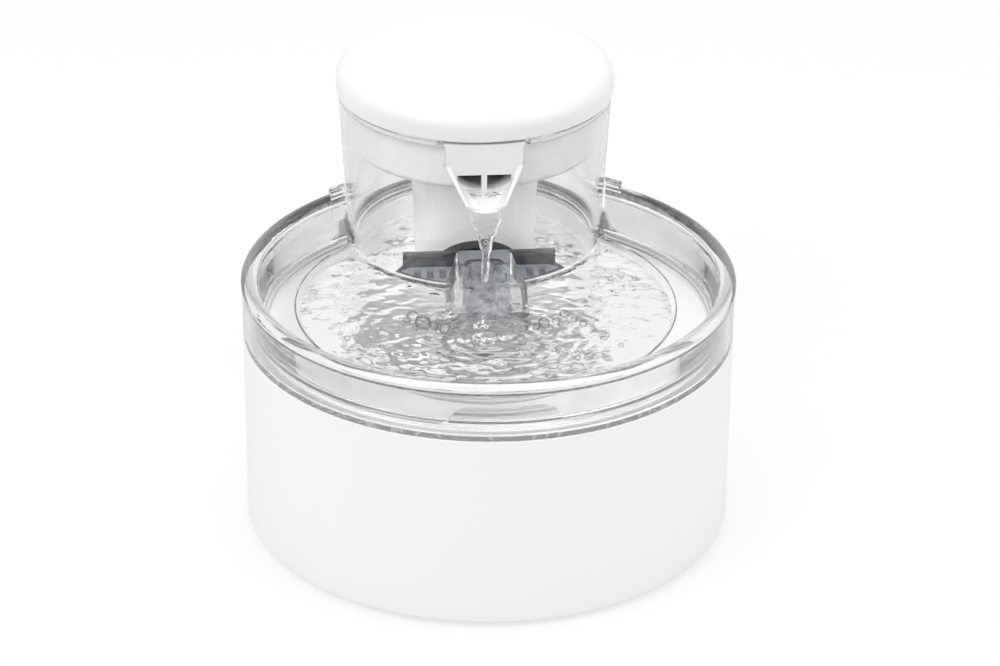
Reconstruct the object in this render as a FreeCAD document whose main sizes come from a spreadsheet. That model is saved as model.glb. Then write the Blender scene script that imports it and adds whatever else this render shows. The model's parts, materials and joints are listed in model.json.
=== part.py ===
"""Pet water fountain: a round white base, a clear tank, a clear drinking tray and a clear tower.

Every sub-part is an object of one parametric document. Its sizes come from the sheet named Sizes.
The model stands on the plane z = 0 and its front, where the animal drinks, faces -Y.
"""

import FreeCAD, Part
import math
import operator
import os

import Sketcher
from FreeCAD import Placement, Rotation, Vector

doc = FreeCAD.newDocument("PetFountain")

# Driving dimensions: name, millimetres or degrees or count, and what it is
DIMENSIONS = [
    ("base_radius", 100.0, "outside radius of the round base"),
    ("base_bottom", 2.0, "height of the base's lower edge above the table"),
    ("base_top", 84.0, "height of the base's upper edge"),
    ("shell_wall", 3.0, "wall of the white base"),
    ("ledge_width", 6.5, "inward ledge at the top of the base"),
    ("ledge_thick", 3.0, "thickness of that ledge"),
    ("lobe_radius", 60.0, "outside radius of the rear lobe under the tower"),
    ("tower_inset", 16.0, "distance of the tower's axis inside the base's outside radius"),
    ("neck_radius", 14.0, "hollow where the lobe meets the round base"),
    ("foot_radius", 9.0, "rubber foot"),
    ("foot_sink", 1.0, "depth of a foot's recess in the cover"),
    ("foot_reach", 74.0, "distance of the front and side feet from the bowl's axis"),
    ("cover_thick", 3.0, "base cover plate"),
    ("cover_gap", 0.3, "gap between the base cover and the shell"),
    ("boss_radius", 4.5, "screw boss in the base"),
    ("boss_height", 16.0, "height of a screw boss"),
    ("boss_lap", 0.8, "how far a screw boss runs into the shell's wall"),
    ("boss_roof", 2.0, "solid end of a screw boss above its pilot hole"),
    ("base_foot_round", 1.2, "rounding of the base's lower edge"),
    ("base_edge_round", 0.6, "rounding of the base's upper edge"),
    ("cover_rib_length", 96.0, "stiffening rib on the cover"),
    ("cover_rib_width", 2.0, "stiffening rib on the cover"),
    ("cover_rib_height", 5.0, "stiffening rib on the cover"),
    ("cover_rib_reach", 62.0, "front rib's distance from the bowl's axis"),
    ("cover_rib_pitch", 16.0, "distance between the ribs"),
    ("cover_skin", 0.6, "what is left of the cover under a blind hole"),
    ("screw_radius", 1.25, "shank of a cover screw"),
    ("screw_head_radius", 2.8, "head of a cover screw"),
    ("screw_head_thick", 1.8, "head of a cover screw"),
    ("cover_screw_length", 9.0, "shank of a cover screw, head not counted"),
    ("small_screw_length", 5.0, "shank of a drive or board screw, head not counted"),
    ("screw_gap", 0.3, "gap round a screw in its clearance hole"),
    ("thread_gap", 0.05, "gap between a screw and its pilot hole"),
    ("tank_gap", 0.5, "gap between the tank and the base's ledge"),
    ("tank_wall", 2.5, "wall of the clear tank"),
    ("tank_bottom", 26.0, "height of the tank's underside"),
    ("flange_thick", 2.5, "flange of the tank on the base's ledge"),
    ("collar_height", 17.5, "clear collar wall above the tank's flange"),
    ("well_depth", 17.5, "rotor well below the tank's underside"),
    ("well_radius", 12.7, "inside radius of the rotor well"),
    ("well_wall", 1.8, "wall of the rotor well"),
    ("tank_round", 3.0, "rounding of the tank's lower edge, outside"),
    ("tank_round_inside", 2.4, "rounding of the tank's lower edge, inside"),
    ("shaft_radius", 1.5, "impeller shaft"),
    ("shaft_roof", 0.6, "wall left above the shaft's upper end"),
    ("shaft_gap", 0.05, "running fit on the shaft"),
    ("magnet_radius", 11.5, "outside radius of the rotor magnet"),
    ("magnet_height", 17.0, "rotor magnet"),
    ("core_radius", 4.6, "impeller's core inside the magnet"),
    ("impeller_radius", 14.0, "impeller disc"),
    ("impeller_disc", 1.5, "thickness of the impeller disc"),
    ("blade_height", 5.5, "impeller blade"),
    ("blade_thick", 1.2, "impeller blade"),
    ("blade_sweep", 3.0, "how far a blade's tip is swept round"),
    ("blade_bow", 1.6, "bow of a swept blade"),
    ("blade_count", 6.0, "impeller blades"),
    ("hub_step", 1.0, "impeller's hub inside its core's radius"),
    ("disc_clear", 1.0, "impeller disc above the tank's floor"),
    ("rotor_clear", 0.5, "rotor above the floor of its well"),
    ("chamber_radius", 17.5, "inside radius of the impeller chamber"),
    ("chamber_wall", 2.0, "wall of the impeller chamber"),
    ("chamber_height", 14.0, "height of the impeller chamber"),
    ("eye_radius", 7.5, "inlet eye of the impeller chamber"),
    ("riser_offset", 13.0, "riser tube's distance from the tower's axis"),
    ("riser_bore", 3.2, "inside radius of the riser tube"),
    ("riser_wall", 1.4, "wall of the riser tube"),
    ("stator_gap", 0.8, "gap between the rotor well and the stator teeth"),
    ("stator_radius", 26.0, "outside radius of the stator core"),
    ("stator_yoke", 3.5, "back ring of the stator core"),
    ("stator_height", 11.0, "stator core"),
    ("tooth_width", 5.0, "stator tooth"),
    ("shoe_lip", 1.6, "pole shoe beyond its tooth, each side"),
    ("shoe_thick", 1.2, "pole shoe at its tip"),
    ("shoe_slope", 0.8, "rise of a pole shoe towards its tooth"),
    ("tooth_count", 6.0, "stator teeth"),
    ("coil_build", 2.2, "winding thickness round a tooth"),
    ("coil_gap", 0.2, "gap between a coil and its tooth or the yoke"),
    ("coil_start", 3.4, "coil's inner end beyond the stator's bore"),
    ("coil_clear", 0.4, "gap between the coils and the housing's floor"),
    ("housing_wall", 2.0, "drive housing"),
    ("housing_height", 19.0, "drive housing"),
    ("housing_gap", 0.3, "gap between the stator and its housing"),
    ("ear_radius", 5.6, "screw ear of the drive housing"),
    ("ear_thick", 3.0, "screw ear of the drive housing"),
    ("ear_reach", 5.8, "screw ear's centre outside the housing's wall"),
    ("rim_overhang", 0.4, "tray's rounded rim outside the base"),
    ("tray_rim_height", 4.4, "height of the rim bead above the collar"),
    ("tray_wall", 2.0, "wall of the drinking tray"),
    ("rim_width", 6.4, "width of the tray's rounded rim"),
    ("wall_slope", 3.0, "how far the tray's wall leans outwards"),
    ("tray_foot_rise", 2.0, "foot of the tray's wall above the tank's flange"),
    ("rim_bead", 2.2, "rise of the rim's rounded top"),
    ("foot_round", 2.0, "reach of the rounding at the foot of the tray's wall"),
    ("pool_round", 6.0, "rounding round the pool's floor"),
    ("skirt_thick", 2.2, "outer skirt of the tray"),
    ("notch_top_width", 37.0, "finger notch in the skirt, upper width"),
    ("notch_bottom_width", 45.0, "finger notch in the skirt, lower width"),
    ("notch_height", 8.4, "finger notch in the skirt"),
    ("notch_round", 3.2, "reach of the rounding at the finger notch's corners"),
    ("pool_margin", 14.4, "slope between the tray's wall and the pool, before the pool's shift"),
    ("pool_shift", 12.0, "pool's centre behind the bowl's axis"),
    ("pool_edge_drop", 1.3, "pool's edge below the tank's flange"),
    ("pool_side", 10.6, "run of the pool's side wall"),
    ("pool_depth", 12.2, "depth of the pool"),
    ("weir_drop", 0.8, "weir lip below the pool's edge"),
    ("seat_thick", 2.0, "ring that carries the tower"),
    ("seat_lap", 0.3, "how far that ring reaches under the tray's wall"),
    ("seat_lead", 12.0, "how far that ring starts in front of the tower's axis"),
    ("tab_length", 7.0, "raised tab of the rim beside the tower"),
    ("tab_height", 1.8, "raised tab of the rim"),
    ("tab_inset", 0.6, "raised tab inside the rim's edges"),
    ("filter_ledge_depth", 5.0, "ledge under the filter frame"),
    ("filter_ledge_lead", 4.0, "how far that ledge starts in front of the filter's back"),
    ("sleeve_bottom_radius", 54.0, "outside radius of the tower at its foot"),
    ("sleeve_top_radius", 57.6, "outside radius of the tower at its top"),
    ("sleeve_wall", 2.5, "wall of the clear tower"),
    ("sleeve_height", 66.0, "tower's upper edge above the tank's flange"),
    ("apron_drop", 0.5, "tower's front edge below the tank's flange"),
    ("sleeve_gap", 0.5, "gap between the tower and the tray round it"),
    ("basin_depth", 23.3, "basin's underside below the tower's upper edge"),
    ("basin_wall", 2.0, "wall of the white basin"),
    ("basin_side_gap", 1.9, "gap between the basin's lower edge and the tower's inside"),
    ("basin_round", 3.0, "rounding of the basin's lower edge"),
    ("basin_gap", 0.3, "gap between the basin's flange and the tower"),
    ("basin_flange", 2.0, "thickness of the basin's flange"),
    ("step_depth", 1.2, "depth of the step that carries the basin's flange"),
    ("column_foot_radius", 23.2, "outside radius of the column at its foot"),
    ("column_top_radius", 27.7, "outside radius of the column at its top"),
    ("column_wall", 2.2, "wall of the white column"),
    ("column_lift", 0.3, "gap between the column and the tank's floor"),
    ("arch_radius", 19.0, "arched intake in the column"),
    ("arch_rise", 7.5, "top of the arched intake above the tank's flange"),
    ("arch_height", 34.0, "height of the arched intake"),
    ("sponge_step", 1.0, "foam's underside below the arched intake's foot"),
    ("slot_rise", 4.0, "low intake slot above the column's foot"),
    ("slot_count", 8.0, "low intake slots in the column"),
    ("slot_width", 4.0, "low intake slot"),
    ("slot_height", 14.0, "low intake slot"),
    ("sponge_height", 38.0, "foam intake sponge"),
    ("sponge_gap", 0.3, "gap between the foam and the column, and round the riser tube"),
    ("seal_wall", 0.8, "soft ring at the riser tube's foot"),
    ("seal_height", 4.0, "soft ring at the riser tube's foot"),
    ("riser_rise", 6.0, "riser tube's upper end above the basin's floor"),
    ("filter_gap", 2.0, "gap between the filter frame and the weir in front of it"),
    ("filter_back_gap", 2.0, "gap between the filter frame and the column behind it"),
    ("filter_half_width", 31.8, "half width of the filter's back wall"),
    ("filter_flare", 3.6, "how far the filter's front corners stand outside its back wall's ends"),
    ("filter_drop", 6.4, "filter frame's underside below the weir lip"),
    ("filter_front_height", 6.3, "front rim of the filter frame"),
    ("filter_back_height", 12.4, "back wall of the filter frame"),
    ("filter_wall", 2.2, "wall of the filter frame"),
    ("frame_slot_count", 7.0, "slots in the filter frame's floor"),
    ("frame_slot_width", 4.0, "slot in the filter frame's floor"),
    ("frame_slot_length", 7.0, "slot in the filter frame's floor"),
    ("grille_slot_count", 11.0, "slots in the filter grille"),
    ("grille_slot_width", 3.0, "slot in the filter grille"),
    ("grille_slot_length", 9.0, "slot in the filter grille"),
    ("pad_gap", 0.3, "gap between the filter pad and its frame"),
    ("pad_thick", 3.0, "filter pad"),
    ("grille_thick", 1.6, "filter grille"),
    ("spout_half_width", 15.9, "half width of the spout's fascia"),
    ("spout_waist", 12.4, "half width of the spout where its bottom starts to round"),
    ("spout_waist_rise", 6.6, "height of that place above the spout's lowest point at the tower"),
    ("spout_side_depth", 10.5, "straight sides of the fascia below the tower's upper edge"),
    ("spout_depth", 24.5, "spout's lowest point at the tower, below the tower's upper edge"),
    ("spout_length", 11.4, "how far the lip stands in front of the fascia's face"),
    ("spout_tail", 6.0, "how far the fascia's section starts inside the basin's radius"),
    ("spout_flare", 3.0, "rounded spread of the fascia's upper corners"),
    ("cheek_depth", 10.0, "top of the scoop's cheeks below the tower's upper edge"),
    ("lip_half_width", 8.2, "half width of the lip"),
    ("lip_side_rise", 1.8, "lip's side edges above the spout's lowest point at the tower"),
    ("lip_drop", 1.4, "lip's lowest point below the spout's lowest point at the tower"),
    ("spout_wall", 2.2, "wall of the spout"),
    ("window_depth", 14.0, "top of the water window below the tower's upper edge"),
    ("window_half_width", 11.0, "half width of the water window"),
    ("window_floor", 1.4, "window's lower edge above the spout's floor"),
    ("rib_width", 2.2, "rib that divides the water window"),
    ("slot_gap", 0.5, "gap between the spout and the tower's slot"),
    ("lid_overhang", 0.8, "lid's outside radius beyond the tower's upper edge"),
    ("lid_gap", 0.5, "shadow gap under the lid"),
    ("lid_height", 12.2, "height of the lid's edge before rounding"),
    ("lid_dome", 1.8, "rise of the lid's dome"),
    ("lid_round", 7.5, "rounding of the lid's edge"),
    ("lid_wall", 2.4, "wall of the lid"),
    ("lid_lip_round", 0.8, "rounding of the lid's lower edge"),
    ("lid_ring_gap", 0.5, "gap between the lid's locating ring and the basin"),
    ("lid_ring_depth", 3.5, "how far the locating ring reaches into the basin"),
    ("lid_land", 3.0, "width of the land that rests on the basin's flange"),
    ("ramp_height", 30.4, "height of the ramp above the pool's floor"),
    ("ramp_top_half", 12.2, "half width of the ramp at its top"),
    ("ramp_shoulder_half", 16.8, "half width of the ramp at its shoulders"),
    ("ramp_shoulder_run", 13.5, "run from the ramp's top to its shoulders"),
    ("ramp_foot_half", 17.4, "half width of the ramp at its foot"),
    ("ramp_corner", 3.4, "rounded top corners of the ramp"),
    ("ramp_run", 43.0, "horizontal run of the ramp"),
    ("ramp_wall", 2.2, "wall of the ramp"),
    ("ramp_gap", 0.6, "gap between the ramp and the tower"),
    ("ramp_border", 3.4, "raised border above the ramp's inner face"),
    ("ramp_face_top_half", 8.8, "half width of the ramp's inner face at its top"),
    ("ramp_face_foot_half", 12.4, "half width of the ramp's inner face at its foot"),
    ("ramp_sink", 1.1, "depth of the ramp's inner face below its border"),
    ("board_length", 44.0, "circuit board, along X"),
    ("board_width", 30.0, "circuit board, along Y"),
    ("board_thick", 1.6, "circuit board"),
    ("board_post", 4.0, "height of the posts under the board"),
    ("post_radius", 3.0, "post under the board"),
    ("board_hole_inset", 4.0, "board's screw holes inside its edges"),
    ("part_sink", 0.2, "how far the parts on the board sink into it"),
    ("chip_side", 7.0, "chip on the board"),
    ("chip_thick", 1.6, "chip on the board"),
    ("plug_length", 12.0, "plug on the board"),
    ("plug_side", 6.0, "plug on the board"),
    ("can_radius", 3.2, "capacitor on the board"),
    ("can_height", 8.0, "capacitor on the board"),
    ("inlet_width", 11.0, "power inlet body"),
    ("inlet_height", 12.0, "power inlet body"),
    ("inlet_depth", 15.0, "power inlet body"),
    ("inlet_bore", 2.85, "radius of the power inlet's bore"),
    ("inlet_pin", 1.0, "radius of the power inlet's centre pin"),
    ("inlet_hole_depth", 10.0, "depth of the power inlet's bore"),
    ("inlet_gap", 0.3, "gap round the power inlet in the shell's window"),
    ("inlet_seat", 1.0, "power inlet's body above the cover"),
    ("inlet_sunk", 1.2, "power inlet's face inside the lobe's outer face"),
]

sheet = doc.addObject("Spreadsheet::Sheet", "Sizes")
for row, (alias, number, meaning) in enumerate(DIMENSIONS, 1):
    sheet.set(f"A{row}", meaning)
    sheet.set(f"B{row}", str(number))
    sheet.setAlias(f"B{row}", alias)
doc.recompute()


class Formula:
    """A size worked out from the sheet: its number, and the text that binds a property to it."""

    SIGNS = {"+": operator.add, "-": operator.sub, "*": operator.mul, "/": operator.truediv}

    def __init__(self, number, text):
        self.number = float(number)
        self.text = text

    @staticmethod
    def of(value):
        return value if isinstance(value, Formula) else Formula(value, repr(float(value)))

    @staticmethod
    def joined(left, sign, right):
        left, right = Formula.of(left), Formula.of(right)
        return Formula(Formula.SIGNS[sign](left.number, right.number), f"({left.text} {sign} {right.text})")

    def __add__(self, other):
        return Formula.joined(self, "+", other)

    def __radd__(self, other):
        return Formula.joined(other, "+", self)

    def __sub__(self, other):
        return Formula.joined(self, "-", other)

    def __rsub__(self, other):
        return Formula.joined(other, "-", self)

    def __mul__(self, other):
        return Formula.joined(self, "*", other)

    def __rmul__(self, other):
        return Formula.joined(other, "*", self)

    def __truediv__(self, other):
        return Formula.joined(self, "/", other)

    def __neg__(self):
        return Formula.joined(0.0, "-", self)

    def root(self):
        return Formula(math.sqrt(self.number), f"sqrt({self.text})")


class Sizes:
    """Every driving dimension by its name, as a Formula."""


for alias, number, meaning in DIMENSIONS:
    setattr(Sizes, alias, Formula(number, f"Sizes.{alias}"))
s = Sizes


# Places that several sub-parts share
tower_offset = s.base_radius - s.tower_inset
flange_top = s.base_top + s.flange_thick
tray_rim_radius = s.base_radius + s.rim_overhang
tray_top_radius = tray_rim_radius - s.rim_width
tray_foot_radius = tray_top_radius - s.wall_slope
tray_foot_height = flange_top + s.tray_foot_rise
pool_radius = tray_foot_radius - s.pool_margin
pool_edge_height = flange_top - s.pool_edge_drop
pool_floor_radius = pool_radius - s.pool_side
pool_floor_height = pool_edge_height - s.pool_depth
weir_top = pool_edge_height - s.weir_drop
seat_front = tower_offset - s.seat_lead
collar_top = flange_top + s.collar_height
apron_bottom = flange_top - s.apron_drop
sleeve_top = flange_top + s.sleeve_height
lid_bottom = sleeve_top + s.lid_gap
basin_bottom = sleeve_top - s.basin_depth
arch_top = flange_top + s.arch_rise
arch_foot = arch_top - s.arch_height
filter_bottom = weir_top - s.filter_drop
filter_front_top = filter_bottom + s.filter_front_height
filter_back_top = filter_bottom + s.filter_back_height
spout_side_foot = sleeve_top - s.spout_side_depth
spout_bottom = sleeve_top - s.spout_depth
cheek_top = sleeve_top - s.cheek_depth
lip_top = spout_bottom + s.lip_side_rise
lip_bottom = spout_bottom - s.lip_drop
window_top = sleeve_top - s.window_depth
lid_edge_height = lid_bottom + s.lid_height
ramp_top_height = pool_floor_height + s.ramp_height
frame_shift = (tray_rim_radius - tower_offset - s.lobe_radius) / 2
bowl_axis = frame_shift
tower_axis = tower_offset + frame_shift
cover_top = s.base_bottom + s.cover_thick
tank_floor = s.tank_bottom + s.tank_wall
well_bottom = s.tank_bottom - s.well_depth
well_floor = well_bottom + s.well_wall
well_outer = s.well_radius + s.well_wall
chamber_top = tank_floor + s.chamber_height
tank_inset = s.ledge_width + s.tank_gap
tank_inner_inset = tank_inset + s.tank_wall
seat_top = flange_top + s.seat_thick
sleeve_flare = (s.sleeve_top_radius - s.sleeve_bottom_radius) / (sleeve_top - apron_bottom)
step_bottom = sleeve_top - s.basin_flange - s.lid_gap
column_bottom = tank_floor + s.column_lift
column_flare = (s.column_top_radius - s.column_foot_radius) / (basin_bottom - column_bottom)
basin_floor = basin_bottom + s.basin_wall
riser_outer = s.riser_bore + s.riser_wall
weir_radius = s.sleeve_bottom_radius - s.sleeve_wall
apron_clear = s.sleeve_bottom_radius + s.sleeve_gap
filter_radius = weir_radius - s.filter_gap


def sleeve_radius(height):
    """Outside radius of the tower at a height."""
    return s.sleeve_bottom_radius + sleeve_flare * (height - apron_bottom)


def column_radius(height):
    """Outside radius of the column at a height."""
    return s.column_foot_radius + column_flare * (height - column_bottom)


def chord(radius, offset):
    """Half chord of a circle at an offset from its centre."""
    return (radius * radius - offset * offset).root()


rim_top = collar_top + s.tray_rim_height
tray_clear = sleeve_radius(rim_top) + s.sleeve_gap
seat_radius = tray_clear + s.seat_lap
filter_back = column_radius(filter_back_top) + s.filter_back_gap
basin_radius = sleeve_radius(basin_bottom) - s.sleeve_wall - s.basin_side_gap
flange_radius = s.sleeve_top_radius - s.sleeve_wall + s.step_depth - s.basin_gap
flange_upper = step_bottom + s.basin_flange
spout_back = basin_radius + s.shaft_gap * 2
spout_root = basin_radius - s.spout_tail
spout_face = s.sleeve_top_radius
lid_radius = s.sleeve_top_radius + s.lid_overhang


# Document helpers
def bind(item, name, value):
    """Sets a property from the sheet and keeps it bound."""
    value = Formula.of(value)
    if "Sizes." in value.text:
        item.setExpression(name, value.text)
    elif isinstance(getattr(item, name), int):
        setattr(item, name, int(value.number))
    else:
        setattr(item, name, value.number)


def bind_place(item, x=0.0, y=0.0, z=0.0):
    """Binds an object's position."""
    values = [Formula.of(v) for v in (x, y, z)]
    item.Placement.Base = Vector(*[v.number for v in values])
    for letter, value in zip("xyz", values):
        if "Sizes." in value.text:
            item.setExpression(f"Placement.Base.{letter}", value.text)


def bind_turned(item, x, y, z):
    """Binds the position of an object that is already turned."""
    turn = item.Placement.Rotation
    values = [Formula.of(v) for v in (x, y, z)]
    item.Placement = Placement(Vector(*[v.number for v in values]), turn)
    for letter, value in zip("xyz", values):
        item.setExpression(f"Placement.Base.{letter}", value.text)


def new_body(label, axis_y):
    """A part body whose own Z axis stands at axis_y on the symmetry plane."""
    body = doc.addObject("PartDesign::Body", label)
    body.Label = label
    bind_place(body, y=axis_y)
    return body


def plane_of(body, role):
    return next(item for item in body.Origin.OriginFeatures if item.Role == role)


def new_sketch(body, plane, offset=0.0):
    """An empty sketch on one of the body's own planes, moved along the plane's normal."""
    sketch = body.newObject("Sketcher::SketchObject", body.Label + "_sketch")
    sketch.AttachmentSupport = [(plane_of(body, plane), "")]
    sketch.MapMode = "FlatFace"
    offset = Formula.of(offset)
    sketch.AttachmentOffset = Placement(Vector(0, 0, offset.number), Rotation())
    if "Sizes." in offset.text:
        sketch.setExpression("AttachmentOffset.Base.z", offset.text)
    return sketch


def constrain(sketch, kind, *where, value=None):
    """Adds a constraint, bound to the sheet where it has a value."""
    if value is None:
        return sketch.addConstraint(Sketcher.Constraint(kind, *where))
    value = Formula.of(value)
    number = sketch.addConstraint(Sketcher.Constraint(kind, *where, value.number))
    if "Sizes." in value.text:
        sketch.setExpression(f"Constraints[{number}]", value.text)
    return number


def pin_point(sketch, edge, end, x, y):
    """Fixes a sketch point at x, y from the sketch's origin."""
    constrain(sketch, "DistanceX", -1, 1, edge, end, value=x)
    constrain(sketch, "DistanceY", -1, 1, edge, end, value=y)


def arc_centre(start, end, sag):
    """Centre of an arc, from its ends and the height sag that it stands to the right of its chord."""
    dx, dy = end[0] - start[0], end[1] - start[1]
    square = dx * dx + dy * dy
    length = square.root()
    depth = (square / 4 - sag * sag) / (sag * 2)
    x = (start[0] + end[0]) / 2 - dy / length * depth
    y = (start[1] + end[1]) / 2 + dx / length * depth
    return x, y, abs(dx.number) >= abs(dy.number)


def outline(sketch, corners):
    """A closed outline. A corner is (x, y), or (x, y, sag) where the edge to the next corner is an
    arc that stands sag to the right of its chord."""
    points = [(Formula.of(c[0]), Formula.of(c[1])) for c in corners]
    first = sketch.GeometryCount
    count = len(corners)
    ends, centres = [], []
    for i, corner in enumerate(corners):
        after = points[(i + 1) % count]
        start = Vector(points[i][0].number, points[i][1].number)
        end = Vector(after[0].number, after[1].number)
        if len(corner) == 2:
            sketch.addGeometry(Part.LineSegment(start, end), False)
            ends.append((1, 2))
            continue
        sag = Formula.of(corner[2])
        x, y, flat = arc_centre(points[i], after, sag)
        centre = Vector(x.number, y.number)
        ring = Part.Circle(centre, Vector(0, 0, 1), centre.distanceToPoint(start))
        head, tail = (start, end) if sag.number > 0 else (end, start)
        turns = [math.atan2(p.y - centre.y, p.x - centre.x) for p in (head, tail)]
        if turns[1] < turns[0]:
            turns[1] += 2 * math.pi
        sketch.addGeometry(Part.ArcOfCircle(ring, *turns), False)
        ends.append((1, 2) if sag.number > 0 else (2, 1))
        centres.append((first + i, "DistanceY" if flat else "DistanceX", y if flat else x))
    for i in range(count):
        after = (i + 1) % count
        constrain(sketch, "Coincident", first + i, ends[i][1], first + after, ends[after][0])
    for i in range(count):
        pin_point(sketch, first + i, ends[i][0], *points[i])
    for number, kind, value in centres:
        constrain(sketch, kind, -1, 1, number, 3, value=value)
    return sketch


def circle(sketch, x, y, radius):
    """A circle in a sketch."""
    x, y, radius = Formula.of(x), Formula.of(y), Formula.of(radius)
    ring = Part.Circle(Vector(x.number, y.number), Vector(0, 0, 1), radius.number)
    number = sketch.addGeometry(ring, False)
    pin_point(sketch, number, 3, x, y)
    constrain(sketch, "Radius", number, value=radius)
    return sketch


def lobed_outline(sketch, inset):
    """The base's plan, moved inwards by inset: the round base, the rear lobe and the two hollows."""
    main = s.base_radius - inset
    lobe = s.lobe_radius - inset
    neck = s.neck_radius + inset
    offset = tower_offset.number
    far, near = main.number + neck.number, lobe.number + neck.number
    neck_y = (far * far - near * near + offset * offset) / (2 * offset)
    neck_x = math.sqrt(far * far - neck_y * neck_y)
    turn_main = math.atan2(neck_y, neck_x)
    turn_lobe = math.atan2(neck_y - offset, neck_x)
    arcs = [
        (0.0, 0.0, main.number, math.pi - turn_main, 2 * math.pi + turn_main),
        (neck_x, neck_y, neck.number, math.pi + turn_lobe, math.pi + turn_main),
        (0.0, offset, lobe.number, turn_lobe, math.pi - turn_lobe),
        (-neck_x, neck_y, neck.number, -turn_main, -turn_lobe),
    ]
    for x, y, radius, start, end in arcs:
        ring = Part.Circle(Vector(x, y), Vector(0, 0, 1), radius)
        sketch.addGeometry(Part.ArcOfCircle(ring, start, end), False)
    pin_point(sketch, 0, 3, 0.0, 0.0)
    pin_point(sketch, 2, 3, 0.0, tower_offset)
    constrain(sketch, "Radius", 0, value=main)
    constrain(sketch, "Radius", 2, value=lobe)
    constrain(sketch, "Radius", 1, value=neck)
    constrain(sketch, "Equal", 1, 3)
    constrain(sketch, "Tangent", 0, 2, 1, 2)
    constrain(sketch, "Tangent", 1, 1, 2, 1)
    constrain(sketch, "Tangent", 2, 2, 3, 2)
    constrain(sketch, "Tangent", 3, 1, 0, 1)
    return sketch


def checked(body, before, grows):
    """Makes sure that the last feature really added or removed material."""
    doc.recompute()
    change = body.Shape.Volume - before
    if body.Tip is None or (change if grows else -change) < 1e-3:
        raise RuntimeError(f"{body.Label}: its last feature changed the volume by {change:.3f}")


def volume_of(body):
    doc.recompute()
    return body.Shape.Volume if body.Tip and not body.Shape.isNull() else 0.0


def pad(body, sketch, length, down=False):
    """Extrudes a sketch along its normal."""
    before = volume_of(body)
    feature = body.newObject("PartDesign::Pad", body.Label + "_pad")
    feature.Profile = sketch
    feature.Reversed = down
    bind(feature, "Length", length)
    checked(body, before, True)
    return feature


def pocket(body, sketch, length, up=False, both=False):
    """Cuts a sketch against its normal, along it, or equally both ways."""
    before = volume_of(body)
    feature = body.newObject("PartDesign::Pocket", body.Label + "_pocket")
    feature.Profile = sketch
    feature.Reversed = up
    feature.Midplane = both
    bind(feature, "Length", length)
    checked(body, before, False)
    return feature


def revolve(body, corners, cut=False):
    """Turns an outline on the XZ plane about the body's Z axis."""
    before = volume_of(body)
    sketch = outline(new_sketch(body, "XZ_Plane"), corners)
    feature = body.newObject("PartDesign::Groove" if cut else "PartDesign::Revolution", body.Label + "_turn")
    feature.Profile = sketch
    feature.ReferenceAxis = (sketch, ["V_Axis"])
    feature.Angle = 360.0
    checked(body, before, not cut)
    return feature


def tapered(feature, draft):
    """Narrows a pad or pocket as it goes down."""
    feature.TaperAngle = -math.degrees(math.atan(draft.number))
    feature.setExpression("TaperAngle", f"-atan({draft.text})")
    doc.recompute()


def loft(body, first, second, cut=False):
    """A straight loft between two sections."""
    before = volume_of(body)
    kind = "PartDesign::SubtractiveLoft" if cut else "PartDesign::AdditiveLoft"
    feature = body.newObject(kind, body.Label + "_loft")
    feature.Profile = first
    feature.Sections = [second]
    feature.Ruled = True
    checked(body, before, not cut)
    return feature


def repeat_round(body, features, count):
    """Repeats features evenly round the body's Z axis."""
    before = body.Shape.Volume
    grows = features[0].isDerivedFrom("PartDesign::FeatureAdditive") or "Pad" in features[0].TypeId
    pattern = body.newObject("PartDesign::PolarPattern", body.Label + "_pattern")
    pattern.Originals = features
    pattern.Axis = (plane_axis(body), [""])
    pattern.Angle = 360.0
    bind(pattern, "Occurrences", count)
    body.Tip = pattern
    checked(body, before, grows)
    return pattern


def plane_axis(body):
    return next(item for item in body.Origin.OriginFeatures if item.Role == "Z_Axis")


def round_edges(body, radius, wanted, bevel=False):
    """Rounds or bevels the edges that wanted(edge) picks on the finished shape."""
    doc.recompute()
    names = [f"Edge{i + 1}" for i, edge in enumerate(body.Shape.Edges) if wanted(edge)]
    if not names:
        raise RuntimeError(f"{body.Label}: no edge to round")
    kind = "PartDesign::Chamfer" if bevel else "PartDesign::Fillet"
    feature = body.newObject(kind, body.Label + "_round")
    feature.Base = (body.Tip if body.Tip is not feature else feature.BaseFeature, names)
    bind(feature, "Size" if bevel else "Radius", radius)
    body.Tip = feature
    doc.recompute()
    if "Invalid" in feature.State or feature.Shape.isNull():
        raise RuntimeError(f"{body.Label}: the rounding of {len(names)} edges failed")
    return feature


def at_height(height):
    """Picks edges that lie flat at a height."""
    level = Formula.of(height).number
    return lambda edge: abs(edge.BoundBox.ZMin - level) < 1e-4 and abs(edge.BoundBox.ZMax - level) < 1e-4


def ring_at(height, radius, tolerance=0.05):
    """Picks circular edges at a height with a radius."""
    level, size = Formula.of(height).number, Formula.of(radius).number

    def wanted(edge):
        box = edge.BoundBox
        flat = abs(box.ZMin - level) < 1e-3 and abs(box.ZMax - level) < 1e-3
        return flat and hasattr(edge.Curve, "Radius") and abs(edge.Curve.Radius - size) < tolerance

    return wanted


def cylinder(name, radius, height, x=0.0, y=0.0, z=0.0):
    """A bound upright cylinder primitive."""
    item = doc.addObject("Part::Cylinder", name)
    bind(item, "Radius", radius)
    bind(item, "Height", height)
    bind_place(item, x, y, z)
    return item


def block(name, length, width, height, x=0.0, y=0.0, z=0.0):
    """A bound block primitive, centred on x and y, standing on z."""
    item = doc.addObject("Part::Box", name)
    bind(item, "Length", length)
    bind(item, "Width", width)
    bind(item, "Height", height)
    bind_place(item, x - length / 2, y - width / 2, z)
    return item


def joined(name, items):
    """Fuses primitives, or keeps separate solids together in one object."""
    item = doc.addObject("Part::MultiFuse", name)
    item.Label = name
    item.Shapes = items
    return item


def cut(name, body, tool):
    """The first object without the second."""
    item = doc.addObject("Part::Cut", name)
    item.Label = name
    item.Base = body
    item.Tool = tool
    return item


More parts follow.
